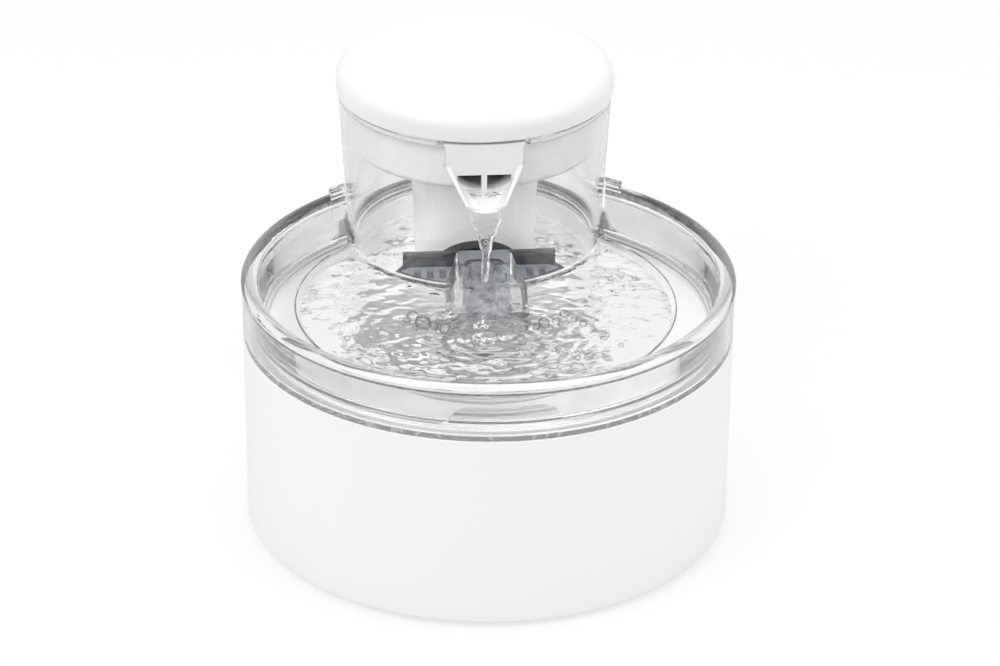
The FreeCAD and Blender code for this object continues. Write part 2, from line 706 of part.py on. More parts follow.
def common(name, first, second):
    """What two objects share."""
    item = doc.addObject("Part::Common", name)
    item.Base = first
    item.Tool = second
    return item


def tube(name, outer, inner, height, x, y, z):
    """A bound upright tube made of two cylinders."""
    solid = cylinder(name + "_solid", outer, height, x, y, z)
    bore = cylinder(name + "_bore", inner, height * 2, x, y, z - height / 2)
    return cut(name, solid, bore)


def standing_prism(name, corners, depth, y):
    """An outline in the XZ plane, extruded towards -Y from y."""
    sketch = doc.addObject("Sketcher::SketchObject", name + "_outline")
    sketch.Placement.Rotation = Rotation(Vector(1, 0, 0), 90)
    outline(sketch, corners)
    bind_turned(sketch, 0.0, y, 0.0)
    return extruded(name, sketch, depth)


def extruded(name, sketch, depth, both=False):
    """A sketch pushed along its normal."""
    item = doc.addObject("Part::Extrusion", name)
    item.Base = sketch
    item.DirMode = "Normal"
    item.Solid = True
    item.Symmetric = both
    bind(item, "LengthFwd", depth)
    return item


def lying_cylinder(name, radius, length, y, z):
    """A cylinder along +Y that starts at y."""
    item = doc.addObject("Part::Cylinder", name)
    bind(item, "Radius", radius)
    bind(item, "Height", length)
    item.Placement.Rotation = Rotation(Vector(1, 0, 0), -90)
    bind_turned(item, 0.0, y, z)
    return item


# Screw places in the base: bearing from the round base's axis, in degrees from +X
COVER_SCREW_BEARINGS = (-60.0, -120.0, -5.0, 185.0)
LOBE_SCREW_BEARINGS = (20.0, 160.0)
screw_reach = s.base_radius - s.shell_wall - s.boss_radius + s.boss_lap
lobe_screw_reach = s.lobe_radius - s.shell_wall - s.boss_radius + s.boss_lap


def screw_places():
    """Centres of the cover screws, from the bowl's axis."""
    places = []
    for bearing in COVER_SCREW_BEARINGS:
        turn = math.radians(bearing)
        places.append((screw_reach * math.cos(turn), screw_reach * math.sin(turn)))
    for bearing in LOBE_SCREW_BEARINGS:
        turn = math.radians(bearing)
        places.append((lobe_screw_reach * math.cos(turn), tower_offset + lobe_screw_reach * math.sin(turn)))
    return places


# Places of the rubber feet, from the bowl's axis
FOOT_BEARINGS = (-45.0, -135.0, 180.0, 0.0)


def foot_places():
    places = []
    for bearing in FOOT_BEARINGS:
        turn = math.radians(bearing)
        places.append((s.foot_reach * math.cos(turn), s.foot_reach * math.sin(turn)))
    places.append((Formula.of(0.0), tower_offset + s.lobe_radius / 2))
    return places


# White base shell: a lobed cup turned over, with a ledge for the tank, screw bosses and the inlet's window
def make_base_shell():
    body = new_body("base_shell", bowl_axis)
    pad(body, lobed_outline(new_sketch(body, "XY_Plane", s.base_bottom), 0.0), s.base_top - s.base_bottom)
    hollow = s.base_top - s.ledge_thick - s.base_bottom
    inside = lobed_outline(new_sketch(body, "XY_Plane", s.base_bottom), s.shell_wall)
    pocket(body, inside, hollow, up=True)
    pocket(body, lobed_outline(new_sketch(body, "XY_Plane", s.base_top), s.ledge_width), s.ledge_thick * 2)
    bosses = new_sketch(body, "XY_Plane", cover_top)
    for x, y in screw_places():
        circle(bosses, x, y, s.boss_radius)
    pad(body, bosses, s.boss_height)
    pilots = new_sketch(body, "XY_Plane", cover_top)
    for x, y in screw_places():
        circle(pilots, x, y, s.screw_radius + s.thread_gap)
    pocket(body, pilots, s.boss_height - s.boss_roof, up=True)
    window = new_sketch(body, "XZ_Plane", -(tower_offset + s.lobe_radius + s.shell_wall / 3))
    half = s.inlet_width / 2 + s.inlet_gap
    low, high = cover_top + s.inlet_seat, cover_top + s.inlet_height + s.inlet_gap
    outline(window, [(-half, low), (half, low), (half, high), (-half, high)])
    pocket(body, window, s.shell_wall * 5 / 3, up=True)
    round_edges(body, s.base_foot_round, outer_edges(s.base_bottom, 0.0))
    round_edges(body, s.base_edge_round, outer_edges(s.base_top, 0.0))
    return body


def outer_edges(height, inset):
    """Picks the four arcs of the lobed outline at a height."""
    radii = [(s.base_radius - inset).number, (s.lobe_radius - inset).number, (s.neck_radius + inset).number]
    level = Formula.of(height).number

    def wanted(edge):
        box = edge.BoundBox
        if abs(box.ZMin - level) > 1e-3 or abs(box.ZMax - level) > 1e-3 or not hasattr(edge.Curve, "Radius"):
            return False
        return any(abs(edge.Curve.Radius - radius) < 1e-3 for radius in radii)

    return wanted


# Bottom plate with recesses for the feet, counterbored screw holes and stiffening ribs
def make_base_cover():
    body = new_body("base_cover", bowl_axis)
    inset = s.shell_wall + s.cover_gap
    pad(body, lobed_outline(new_sketch(body, "XY_Plane", s.base_bottom), inset), s.cover_thick)
    recesses = new_sketch(body, "XY_Plane", s.base_bottom)
    for x, y in foot_places():
        circle(recesses, x, y, s.foot_radius + s.cover_gap)
    pocket(body, recesses, s.foot_sink, up=True)
    holes = new_sketch(body, "XY_Plane", s.base_bottom)
    heads = new_sketch(body, "XY_Plane", s.base_bottom)
    for x, y in screw_places():
        circle(holes, x, y, s.screw_radius + s.screw_gap)
        circle(heads, x, y, s.screw_head_radius + s.screw_gap)
    pocket(body, holes, s.cover_thick * 2, up=True)
    pocket(body, heads, s.screw_head_thick, up=True)
    posts = new_sketch(body, "XY_Plane", cover_top)
    for x, y in board_screw_places():
        circle(posts, x, y, s.post_radius)
    pad(body, posts, s.board_post)
    pilots = new_sketch(body, "XY_Plane", cover_top + s.board_post)
    for x, y in board_screw_places():
        circle(pilots, x, y, s.screw_radius + s.thread_gap)
    pocket(body, pilots, s.board_post + s.cover_thick / 3)
    ribs = new_sketch(body, "XY_Plane", cover_top)
    half = s.cover_rib_length / 2
    for rib_front in (-s.cover_rib_reach, s.cover_rib_pitch - s.cover_rib_reach):
        rib_back = rib_front + s.cover_rib_width
        outline(ribs, [(-half, rib_front), (half, rib_front), (half, rib_back), (-half, rib_back)])
    pad(body, ribs, s.cover_rib_height)
    ears = new_sketch(body, "XY_Plane", cover_top)
    for x, y in drive_screw_places():
        circle(ears, x, y + tower_offset, s.screw_radius + s.thread_gap)
    pocket(body, ears, s.cover_thick - s.cover_skin)
    return body


# Feet under the base cover
def make_rubber_feet():
    feet = []
    for i, (x, y) in enumerate(foot_places()):
        thick = s.base_bottom + s.foot_sink
        disc = cylinder(f"foot_{i}", s.foot_radius, thick, x, y + bowl_axis)
        feet.append(disc)
    return joined("rubber_feet", feet)


def screw(name, x, y, z, length, up=True):
    """A pan-head screw whose head stands at z and whose shank runs up, or down."""
    head = cylinder(name + "_head", s.screw_head_radius, s.screw_head_thick, x, y, z)
    foot = z if up else z - length
    shank = cylinder(name + "_shank", s.screw_radius, length + s.screw_head_thick, x, y, foot)
    return [head, shank]


def make_cover_screws():
    pieces = []
    for i, (x, y) in enumerate(screw_places()):
        pieces += screw(f"cover_screw_{i}", x, y + bowl_axis, s.base_bottom, s.cover_screw_length)
    return joined("cover_screws", pieces)


def drive_screw_places():
    """Centres of the drive housing's screws, from the tower's axis."""
    reach = s.stator_radius + s.housing_wall + s.ear_reach
    turns = [math.radians(bearing) for bearing in (90.0, 210.0, 330.0)]
    return [(reach * math.cos(turn), reach * math.sin(turn)) for turn in turns]


# Black cup that holds the stator on the base cover
stator_bottom = cover_top + s.housing_wall + s.coil_build + s.coil_clear


def make_drive_housing():
    body = new_body("drive_housing", tower_axis)
    inner = s.stator_radius + s.housing_gap
    outer = inner + s.housing_wall
    top = cover_top + s.housing_height
    floor = cover_top + s.housing_wall
    profile = [
        (0.0, cover_top),
        (outer, cover_top),
        (outer, top),
        (inner, top),
        (inner, stator_bottom),
        (inner - s.housing_wall, stator_bottom),
        (inner - s.housing_wall, floor),
        (0.0, floor),
    ]
    revolve(body, profile)
    ears = new_sketch(body, "XY_Plane", cover_top)
    for x, y in drive_screw_places():
        circle(ears, x, y, s.ear_radius)
    pad(body, ears, s.ear_thick)
    holes = new_sketch(body, "XY_Plane", cover_top)
    for x, y in drive_screw_places():
        circle(holes, x, y, s.screw_radius + s.screw_gap)
    pocket(body, holes, s.ear_thick * 2, up=True)
    return body


def make_drive_screws():
    pieces = []
    top = cover_top + s.ear_thick
    for i, (x, y) in enumerate(drive_screw_places()):
        pieces += screw(f"drive_screw_{i}", x, y + tower_axis, top, s.small_screw_length, up=False)
    return joined("drive_screws", pieces)


# Laminated stator: a yoke, teeth and pole shoes
stator_bore = well_outer + s.stator_gap


def make_stator_core():
    body = new_body("stator_core", tower_axis)
    yoke = new_sketch(body, "XY_Plane", stator_bottom)
    circle(yoke, 0.0, 0.0, s.stator_radius)
    circle(yoke, 0.0, 0.0, s.stator_radius - s.stator_yoke)
    pad(body, yoke, s.stator_height)
    half = s.tooth_width / 2
    shoe = half + s.shoe_lip
    foot = chord(stator_bore, shoe)
    tip = foot + s.shoe_thick
    neck = tip + s.shoe_slope
    tooth = outline(
        new_sketch(body, "XY_Plane", stator_bottom),
        [
            (s.stator_radius - s.stator_yoke / 2, -half),
            (s.stator_radius - s.stator_yoke / 2, half),
            (neck, half),
            (tip, shoe),
            (foot, shoe, -s.stator_gap),
            (foot, -shoe),
            (tip, -shoe),
            (neck, -half),
        ],
    )
    feature = pad(body, tooth, s.stator_height)
    repeat_round(body, [feature], s.tooth_count)
    return body


# One winding round each tooth
def make_stator_coils():
    coils = []
    margin = s.coil_build + s.coil_gap
    width = s.tooth_width + margin * 2
    height = s.stator_height + margin * 2
    inner = stator_bore + s.coil_start
    depth = chord(s.stator_radius - s.stator_yoke - s.coil_gap, width / 2) - inner
    hole_width = s.tooth_width + s.coil_gap * 2
    hole_height = s.stator_height + s.coil_gap * 2
    for i in range(int(s.tooth_count.number)):
        turn = 360.0 * i / int(s.tooth_count.number)
        solid = doc.addObject("Part::Box", f"coil_solid_{i}")
        hole = doc.addObject("Part::Box", f"coil_hole_{i}")
        sizes = [
            (solid, depth, width, height, inner, stator_bottom - margin),
            (hole, depth * 2, hole_width, hole_height, inner - depth / 2, stator_bottom - s.coil_gap),
        ]
        for item, length, wide, tall, start, low in sizes:
            bind(item, "Length", length)
            bind(item, "Width", wide)
            bind(item, "Height", tall)
            angle = math.radians(turn)
            item.Placement.Rotation = Rotation(Vector(0, 0, 1), turn)
            x = start * math.cos(angle) + wide * (math.sin(angle) / 2)
            y = start * math.sin(angle) - wide * (math.cos(angle) / 2) + tower_axis
            bind_turned(item, x, y, low)
        coils.append(cut(f"coil_{i}", solid, hole))
    return joined("stator_coils", coils)


def board_screw_places():
    """Centres of the board's screws, from the bowl's axis."""
    x = s.board_length / 2 - s.board_hole_inset
    y = s.board_width / 2 - s.board_hole_inset
    return [(x, y), (-x, -y), (-x, y), (x, -y)]


# Circuit board with its parts
def make_control_board():
    z = cover_top + s.board_post
    top = z + s.board_thick
    plate = block("board_plate", s.board_length, s.board_width, s.board_thick, 0.0, bowl_axis, z)
    low = top - s.part_sink
    chip = block("board_chip", s.chip_side, s.chip_side, s.chip_thick, -s.board_length / 10, bowl_axis, low)
    plug_y = bowl_axis + s.board_width * 0.3
    plug = block("board_plug", s.plug_length, s.plug_side, s.plug_side, s.plug_length / 2, plug_y, low)
    can_y = bowl_axis - s.board_width / 6
    can = cylinder("board_can", s.can_radius, s.can_height, s.board_length / 5, can_y, low)
    board = joined("board_solid", [plate, chip, plug, can])
    hole = s.screw_radius + s.screw_gap
    holes = [
        cylinder(f"board_hole_{i}", hole, s.board_thick * 3, x, y + bowl_axis, z - s.board_thick)
        for i, (x, y) in enumerate(board_screw_places())
    ]
    return cut("control_board", board, joined("board_holes", holes))


def make_board_screws():
    pieces = []
    top = cover_top + s.board_post + s.board_thick
    for i, (x, y) in enumerate(board_screw_places()):
        pieces += screw(f"board_screw_{i}", x, y + bowl_axis, top, s.small_screw_length, up=False)
    return joined("board_screws", pieces)


# Low-voltage socket in the rear wall
def make_power_inlet():
    face = tower_axis + s.lobe_radius - s.inlet_sunk
    middle = face - s.inlet_depth / 2
    height = s.inlet_height - s.inlet_seat
    shell = block("inlet_shell", s.inlet_width, s.inlet_depth, height, 0.0, middle, cover_top + s.inlet_seat)
    foot_depth = s.inlet_depth * 0.75
    foot_middle = face - s.inlet_depth + foot_depth / 2
    foot = block("inlet_foot", s.inlet_width, foot_depth, s.inlet_seat * 2, 0.0, foot_middle, cover_top)
    centre = cover_top + (s.inlet_height + s.inlet_seat) / 2
    depth = s.inlet_hole_depth
    bore = lying_cylinder("inlet_hole", s.inlet_bore, depth * 2, face - depth, centre)
    pin = lying_cylinder("inlet_contact", s.inlet_pin, depth, face - depth - s.inlet_seat, centre)
    hollow = cut("inlet_hollow", joined("inlet_block", [shell, foot]), bore)
    return joined("power_inlet", [hollow, pin])


# Clear tank: a lobed tub, a flange on the base's ledge, the collar wall and the rotor well
def make_water_tank():
    body = new_body("water_tank", bowl_axis)
    plan = lobed_outline(new_sketch(body, "XY_Plane", s.tank_bottom), tank_inset)
    pad(body, plan, s.base_top - s.tank_bottom)
    pad(body, lobed_outline(new_sketch(body, "XY_Plane", s.base_top), 0.0), s.flange_thick)
    collar = circle(new_sketch(body, "XY_Plane", flange_top), 0.0, 0.0, s.base_radius)
    pad(body, collar, collar_top - flange_top)
    inside = circle(new_sketch(body, "XY_Plane", collar_top), 0.0, 0.0, s.base_radius - s.tank_wall)
    pocket(body, inside, collar_top - flange_top)
    clear = seat_radius + s.sleeve_gap
    gap = circle(new_sketch(body, "XY_Plane", collar_top), 0.0, tower_offset, clear)
    pocket(body, gap, collar_top - flange_top)
    tub = lobed_outline(new_sketch(body, "XY_Plane", flange_top), tank_inner_inset)
    pocket(body, tub, flange_top - tank_floor)
    well = circle(new_sketch(body, "XY_Plane", s.tank_bottom), 0.0, tower_offset, well_outer)
    pad(body, well, s.well_depth, down=True)
    cup = circle(new_sketch(body, "XY_Plane", tank_floor), 0.0, tower_offset, s.well_radius)
    pocket(body, cup, tank_floor - well_floor)
    round_edges(body, s.tank_round, outer_edges(s.tank_bottom, tank_inset))
    round_edges(body, s.tank_round_inside, outer_edges(tank_floor, tank_inner_inset))
    return body


# Ceramic pin between the rotor well and the chamber's hub
def make_impeller_shaft():
    length = chamber_top - s.shaft_roof - well_floor
    return cylinder("impeller_shaft", s.shaft_radius, length, 0.0, tower_axis, well_floor)


# Impeller: a core that carries the magnet, a disc and curved blades
disc_bottom = tank_floor + s.disc_clear
disc_top = disc_bottom + s.impeller_disc


def make_impeller():
    body = new_body("impeller", tower_axis)
    bore = s.shaft_radius + s.shaft_gap
    core = s.core_radius
    hub = core - s.hub_step
    low = well_floor + s.rotor_clear
    top = disc_top + s.blade_height
    profile = [
        (bore, low),
        (core, low),
        (core, disc_bottom),
        (s.impeller_radius, disc_bottom),
        (s.impeller_radius, disc_top),
        (hub, disc_top),
        (hub, top),
        (bore, top),
    ]
    revolve(body, profile)
    root = hub - s.blade_thick / 2
    tip = s.impeller_radius - s.blade_thick / 3
    blade = outline(
        new_sketch(body, "XY_Plane", disc_top),
        [
            (root, -s.blade_thick / 2, s.blade_bow),
            (tip, s.blade_sweep),
            (tip - s.blade_thick / 3, s.blade_sweep + s.blade_thick, -s.blade_bow),
            (root, s.blade_thick / 2),
        ],
    )
    feature = pad(body, blade, s.blade_height - s.blade_thick / 2)
    repeat_round(body, [feature], s.blade_count)
    return body


def make_rotor_magnet():
    low = disc_bottom - s.magnet_height
    inner = s.core_radius + s.shaft_gap
    return tube("rotor_magnet", s.magnet_radius, inner, s.magnet_height, 0.0, tower_axis, low)


# Chamber over the impeller: a side wall, a roof with an inlet eye, a spider and the outlet nipple
def make_impeller_cover():
    body = new_body("impeller_cover", tower_axis)
    outer = s.chamber_radius + s.chamber_wall
    roof = chamber_top - s.chamber_wall
    profile = [
        (s.chamber_radius, tank_floor),
        (outer, tank_floor),
        (outer, chamber_top),
        (s.eye_radius, chamber_top),
        (s.eye_radius, roof),
        (s.chamber_radius, roof),
    ]
    revolve(body, profile)
    spider = new_sketch(body, "XY_Plane", roof)
    circle(spider, 0.0, 0.0, s.shaft_radius * 2)
    pad(body, spider, s.chamber_wall)
    half = s.chamber_wall * 0.4
    start, end = s.shaft_radius, s.eye_radius + s.chamber_wall / 2
    arm = new_sketch(body, "XY_Plane", roof)
    outline(arm, [(start, -half), (end, -half), (end, half), (start, half)])
    feature = pad(body, arm, s.chamber_wall)
    repeat_round(body, [feature], 3.0)
    seat = new_sketch(body, "XY_Plane", chamber_top - s.shaft_roof)
    circle(seat, 0.0, 0.0, s.shaft_radius + s.shaft_gap)
    pocket(body, seat, s.chamber_wall)
    outlet = circle(new_sketch(body, "XY_Plane", chamber_top), s.riser_offset, 0.0, s.riser_bore)
    pocket(body, outlet, s.chamber_wall * 2)
    return body


# Clear drinking tray: a rounded rim, a slope, an off-centre pool, a weir under the tower and a skirt
pool_draft = (pool_radius - pool_floor_radius) / (pool_edge_height - pool_floor_height)
pool_front = pool_radius - s.pool_shift
bead_foot = rim_top - s.rim_bead
skirt_inner = tray_foot_radius + s.tray_wall
skirt_outer = skirt_inner + s.skirt_thick


def ring_sector(sketch, axis_y, line_y, outer, inner, rear):
    """Half of a ring about (0, axis_y): the part behind, or in front of, the line y = line_y."""
    drop = axis_y - line_y
    wide, narrow = chord(outer, drop), chord(inner, drop)
    if rear:
        corners = [(wide, line_y, outer + drop), (-wide, line_y)]
        corners += [(-narrow, line_y, -(inner + drop)), (narrow, line_y)]
    else:
        corners = [(-wide, line_y, outer - drop), (wide, line_y)]
        corners += [(narrow, line_y, -(inner - drop)), (-narrow, line_y)]
    return outline(sketch, corners)


def half_disc(sketch, axis_y, line_y, radius):
    """The part of a disc about (0, axis_y) in front of the line y = line_y."""
    drop = axis_y - line_y
    wide = chord(radius, drop)
    return outline(sketch, [(-wide, line_y, radius - drop), (wide, line_y)])


def tray_wall_foot():
    """The concave rounding between the tray's slope and its wall, as two corners of an outline."""
    along = s.foot_round / (tray_foot_radius - pool_front)
    up = s.foot_round / (bead_foot - tray_foot_height)
    slope_x = tray_foot_radius - (tray_foot_radius - pool_front) * along
    slope_z = tray_foot_height - (tray_foot_height - pool_edge_height) * along
    wall_x = tray_foot_radius + (tray_top_radius - tray_foot_radius) * up
    wall_z = tray_foot_height + s.foot_round
    return [(slope_x, slope_z, s.foot_round * 0.27), (wall_x, wall_z)]


def make_tray_bowl():
    """The tray without its skirt and tabs."""
    body = new_body("tray_bowl", bowl_axis)
    wall = s.tray_wall
    under = pool_edge_height - wall
    slope_under = tray_foot_height - wall * 0.7
    profile = [
        (0.0, pool_edge_height),
        (pool_front, pool_edge_height),
        *tray_wall_foot(),
        (tray_top_radius, bead_foot, -s.rim_bead),
        (tray_rim_radius, bead_foot),
        (tray_rim_radius, collar_top),
        (skirt_outer, collar_top),
        (skirt_inner, tray_foot_height),
        (tray_foot_radius, slope_under),
        (pool_front, under),
        (0.0, under),
    ]
    revolve(body, profile)
    top = tray_foot_height
    rise = top - pool_edge_height
    outer = new_sketch(body, "XY_Plane", top)
    circle(outer, 0.0, s.pool_shift, pool_radius + wall + rise * pool_draft)
    tapered(pad(body, outer, top - pool_floor_height + wall, down=True), pool_draft)
    high = rim_top + s.tray_rim_height
    air = [
        (0.0, pool_edge_height),
        (pool_front, pool_edge_height),
        *tray_wall_foot(),
        (tray_top_radius, bead_foot),
        (tray_top_radius, high),
        (0.0, high),
    ]
    revolve(body, air, cut=True)
    inner = circle(new_sketch(body, "XY_Plane", top), 0.0, s.pool_shift, pool_radius + rise * pool_draft)
    tapered(pocket(body, inner, top - pool_floor_height), pool_draft)
    round_edges(body, s.pool_round, at_height(pool_floor_height))
    above = circle(new_sketch(body, "XY_Plane", high), 0.0, tower_offset, tray_clear)
    pocket(body, above, high - seat_top)
    apron = half_disc(new_sketch(body, "XY_Plane", seat_top), tower_offset, seat_front, apron_clear)
    pocket(body, apron, seat_top - weir_top)
    through = circle(new_sketch(body, "XY_Plane", seat_top), 0.0, tower_offset, weir_radius)
    pocket(body, through, seat_top - s.tank_bottom)
    weir = new_sketch(body, "XY_Plane", pool_floor_height - wall)
    ring_sector(weir, tower_offset, seat_front, weir_radius + wall, weir_radius, rear=False)
    pad(body, weir, weir_top - pool_floor_height + wall)
    seat = new_sketch(body, "XY_Plane", flange_top)
    ring_sector(seat, tower_offset, seat_front, seat_radius, weir_radius, rear=True)
    pad(body, seat, s.seat_thick)
    ledge = new_sketch(body, "XY_Plane", filter_bottom - wall)
    line = tower_offset - filter_back - s.filter_ledge_lead
    ledge_inner = weir_radius - s.filter_ledge_depth
    ring_sector(ledge, tower_offset, line, weir_radius + wall / 2, ledge_inner, rear=False)
    pad(body, ledge, wall)
    return body


def notch_corners():
    """The finger notch in the skirt: slanted sides with rounded corners above and below."""
    wide, narrow = s.notch_bottom_width / 2, s.notch_top_width / 2
    foot, head = tray_foot_height, tray_foot_height + s.notch_height
    reach = s.notch_round
    side = ((wide - narrow) * (wide - narrow) + s.notch_height * s.notch_height).root()
    across, up = reach * (wide - narrow) / side, reach * s.notch_height / side
    sag = reach * 0.24
    half = [
        (wide + reach, foot - s.notch_height),
        (wide + reach, foot, -sag),
        (wide - across, foot + up),
        (narrow + across, head - up, sag),
        (narrow - reach, head),
    ]
    mirrored = [
        (reach - narrow, head, sag),
        (-narrow - across, head - up),
        (across - wide, foot + up, -sag),
        (-wide - reach, foot),
        (-wide - reach, foot - s.notch_height),
    ]
    return half + mirrored


def make_drinking_tray():
    bowl = make_tray_bowl()
    skirt_height = collar_top - tray_foot_height
    skirt = tube("tray_skirt", skirt_outer, skirt_inner, skirt_height, 0.0, bowl_axis, tray_foot_height)
    notch = standing_prism("notch", notch_corners(), skirt_outer, bowl_axis)
    tower_hole = cylinder("tray_tower_hole", tray_clear, rim_top, 0.0, tower_axis, flange_top)
    notched = cut("notched_skirt", cut("open_skirt", skirt, tower_hole), notch)
    tab_zone = tube("tab_zone", tray_clear + s.tab_length, tray_clear, rim_top * 2, 0.0, tower_axis, 0.0)
    outer, inner = tray_rim_radius - s.tab_inset, tray_top_radius + s.tab_inset
    crown = tube("tab_crown", outer, inner, s.tab_height + s.rim_bead, 0.0, bowl_axis, bead_foot)
    liner_inner = tray_foot_radius + s.tray_wall * 0.8
    liner_height = bead_foot - tray_foot_height
    liner = tube("tab_liner", skirt_inner, liner_inner, liner_height, 0.0, bowl_axis, tray_foot_height)
    tabs = common("rim_tabs", joined("tab_rings", [crown, liner]), tab_zone)
    return joined("drinking_tray", [bowl, notched, tabs])


# Clear ramp: a hollow wedge with a raised border round its sloping face
ramp_back = tower_offset - sleeve_radius(ramp_top_height) - s.ramp_gap
ramp_front = ramp_back - s.ramp_run
ramp_drop = ramp_top_height - pool_floor_height
ramp_slope = ramp_drop / s.ramp_run


def ramp_plan(name, halves, back, height):
    """A plan as wide as the halves at its foot, shoulders and top, extruded upwards."""
    sketch = doc.addObject("Sketcher::SketchObject", name + "_plan")
    bind_place(sketch, y=bowl_axis, z=pool_floor_height)
    foot, shoulder, top = halves
    corner = s.ramp_corner
    shoulder_y = ramp_back - s.ramp_shoulder_run
    corners = [
        (-foot, ramp_front),
        (foot, ramp_front),
        (shoulder, shoulder_y),
        (top, back - corner, corner * 0.29),
        (top - corner, back),
        (corner - top, back, corner * 0.29),
        (-top, back - corner),
        (-shoulder, shoulder_y),
    ]
    return extruded(name, outline(sketch, corners), height)


def ramp_side(name, lift, reach):
    """The wedge under the sloping face moved up by lift, extruded across the whole width."""
    sketch = doc.addObject("Sketcher::SketchObject", name + "_side")
    sketch.Placement.Rotation = Rotation(Vector(1, 1, 1), 120)
    spare = s.ramp_wall / 2
    back, front = ramp_back + spare, ramp_front - reach
    low = pool_floor_height - spare
    level = pool_floor_height + lift
    corners = [
        (front, low),
        (back, low),
        (back, level + ramp_slope * (s.ramp_run + spare)),
        (front, level - ramp_slope * reach),
    ]
    outline(sketch, corners)
    bind_turned(sketch, 0.0, bowl_axis, 0.0)
    return extruded(name, sketch, s.ramp_foot_half * 3, both=True)


def make_splash_ramp():
    wall = s.ramp_wall
    height = ramp_drop * 1.2
    outer = (s.ramp_foot_half, s.ramp_shoulder_half, s.ramp_top_half)
    inner = tuple(half - wall for half in outer)
    wedge = ramp_side("ramp_wedge", 0.0, wall / 4)
    blank = common("ramp_blank", ramp_plan("ramp_outer", outer, ramp_back, height), wedge)
    cavity = ramp_side("ramp_cavity", -wall * 1.4, wall / 5)
    hollow = common("ramp_hollow", ramp_plan("ramp_inner", inner, ramp_back - wall, height), cavity)
    top, foot = s.ramp_face_top_half, s.ramp_face_foot_half
    share = s.ramp_shoulder_run / s.ramp_run
    face = (foot, top + (foot - top) * share, top)
    high = ramp_side("ramp_face_high", wall * 3, wall / 11)
    low = ramp_side("ramp_face_low", -s.ramp_sink, wall / 7)
    plan = ramp_plan("ramp_face_plan", face, ramp_back - s.ramp_border, height)
    recess = common("ramp_face", plan, cut("ramp_face_slab", high, low))
    return cut("splash_ramp", cut("ramp_shell", blank, hollow), recess)


# Clear tower with a step for the basin and a slot for the spout
def make_tower_sleeve():
    body = new_body("tower_sleeve", tower_axis)
    wall = s.sleeve_wall
    profile = [
        (s.sleeve_bottom_radius, apron_bottom),
        (s.sleeve_top_radius, sleeve_top),
        (s.sleeve_top_radius - wall + s.step_depth, sleeve_top),
        (s.sleeve_top_radius - wall + s.step_depth, step_bottom),
        (sleeve_radius(step_bottom) - wall, step_bottom),
        (s.sleeve_bottom_radius - wall, apron_bottom),
    ]
    revolve(body, profile)
    foot = new_sketch(body, "XY_Plane", seat_top)
    far = s.sleeve_top_radius + wall
    line = seat_front - tower_offset - s.sleeve_gap
    outline(foot, [(-far, line), (far, line), (far, far), (-far, far)])
    pocket(body, foot, (seat_top - apron_bottom) * 2)
    slot = new_sketch(body, "XZ_Plane", spout_root - s.spout_tail)
    fascia_section(slot, s.slot_gap, sleeve_top)
    pocket(body, slot, s.sleeve_top_radius, up=True)
    return body


def fascia_section(sketch, margin, top):
    """The spout's section at the tower's wall, wider by margin, with rounded spreading upper corners."""
    half, waist = s.spout_half_width + margin, s.spout_waist + margin
    bottom = spout_bottom - margin
    level = spout_bottom + s.spout_waist_rise
    flare = s.spout_flare - margin
    shoulder = top - flare
    over = top + s.spout_flare
    corners = [
        (-half - flare, over),
        (-half - flare, top, flare * -0.29),
        (-half, shoulder),
        (-half, spout_side_foot),
        (-waist, level, level - bottom),
        (waist, level),
        (half, spout_side_foot),
        (half, shoulder, flare * -0.29),
        (half + flare, top),
        (half + flare, over),
    ]
    return outline(sketch, corners)


def scoop_section(sketch, margin, top, rise=0.0):
    """The scoop's section where it leaves the fascia, narrower by margin: a taper and a round bottom."""
    half, waist = s.spout_half_width - margin, s.spout_waist - margin
    level = spout_bottom + s.spout_waist_rise
    corners = [
        (-half, top),
        (-half, spout_side_foot),
        (-waist, level, level - spout_bottom - rise),
        (waist, level),
        (half, spout_side_foot),
        (half, top),
    ]
    return outline(sketch, corners)


def lip_section(sketch, margin, top, rise=0.0):
    """The scoop's section at its lip, narrower by margin."""
    half = s.lip_half_width - margin
    waist = half * 0.93
    low_side = lip_top - s.lip_side_rise / 6
    level = lip_top - s.lip_side_rise / 2
    corners = [
        (-half, top),
        (-half, low_side),
        (-waist, level, level - lip_bottom - rise),
        (waist, level),
        (half, low_side),
        (half, top),
    ]
    return outline(sketch, corners)


# White basin on the tower's step
def make_top_basin():
    body = new_body("top_basin", tower_axis)
    wall = s.basin_wall
    profile = [
        (0.0, basin_bottom),
        (basin_radius, basin_bottom),
        (basin_radius, step_bottom),
        (flange_radius, step_bottom),
        (flange_radius, flange_upper),
        (basin_radius - wall, flange_upper),
        (basin_radius - wall, basin_floor),
        (0.0, basin_floor),
    ]
    revolve(body, profile)
    round_edges(body, s.basin_round, ring_at(basin_bottom, basin_radius))
    tube_hole = new_sketch(body, "XY_Plane", basin_floor)
    circle(tube_hole, s.riser_offset, 0.0, riser_outer + s.shaft_gap)
    pocket(body, tube_hole, wall * 1.5)
    mouth = new_sketch(body, "XZ_Plane", basin_radius - wall * 4)
    spread = s.slot_gap
    window_outline(mouth, s.window_half_width + spread, window_top + spread, basin_floor)
    pocket(body, mouth, wall * 6, up=True)
    seat = new_sketch(body, "XY_Plane", flange_upper)
    half = s.spout_half_width + s.spout_flare + s.basin_gap
    front, back = -flange_radius * 1.02, -chord(basin_radius, half)
    outline(seat, [(-half, front), (half, front), (half, back, -(basin_radius + back)), (-half, back)])
    pocket(body, seat, s.basin_flange * 1.5)
    return body


def window_outline(sketch, half, top, bottom):
    """The water window: a flat top, short sides and a round foot."""
    shoulder = top - (top - bottom) * 0.4
    corners = [(-half, top), (-half, shoulder, shoulder - bottom), (half, shoulder), (half, top)]
    return outline(sketch, corners)


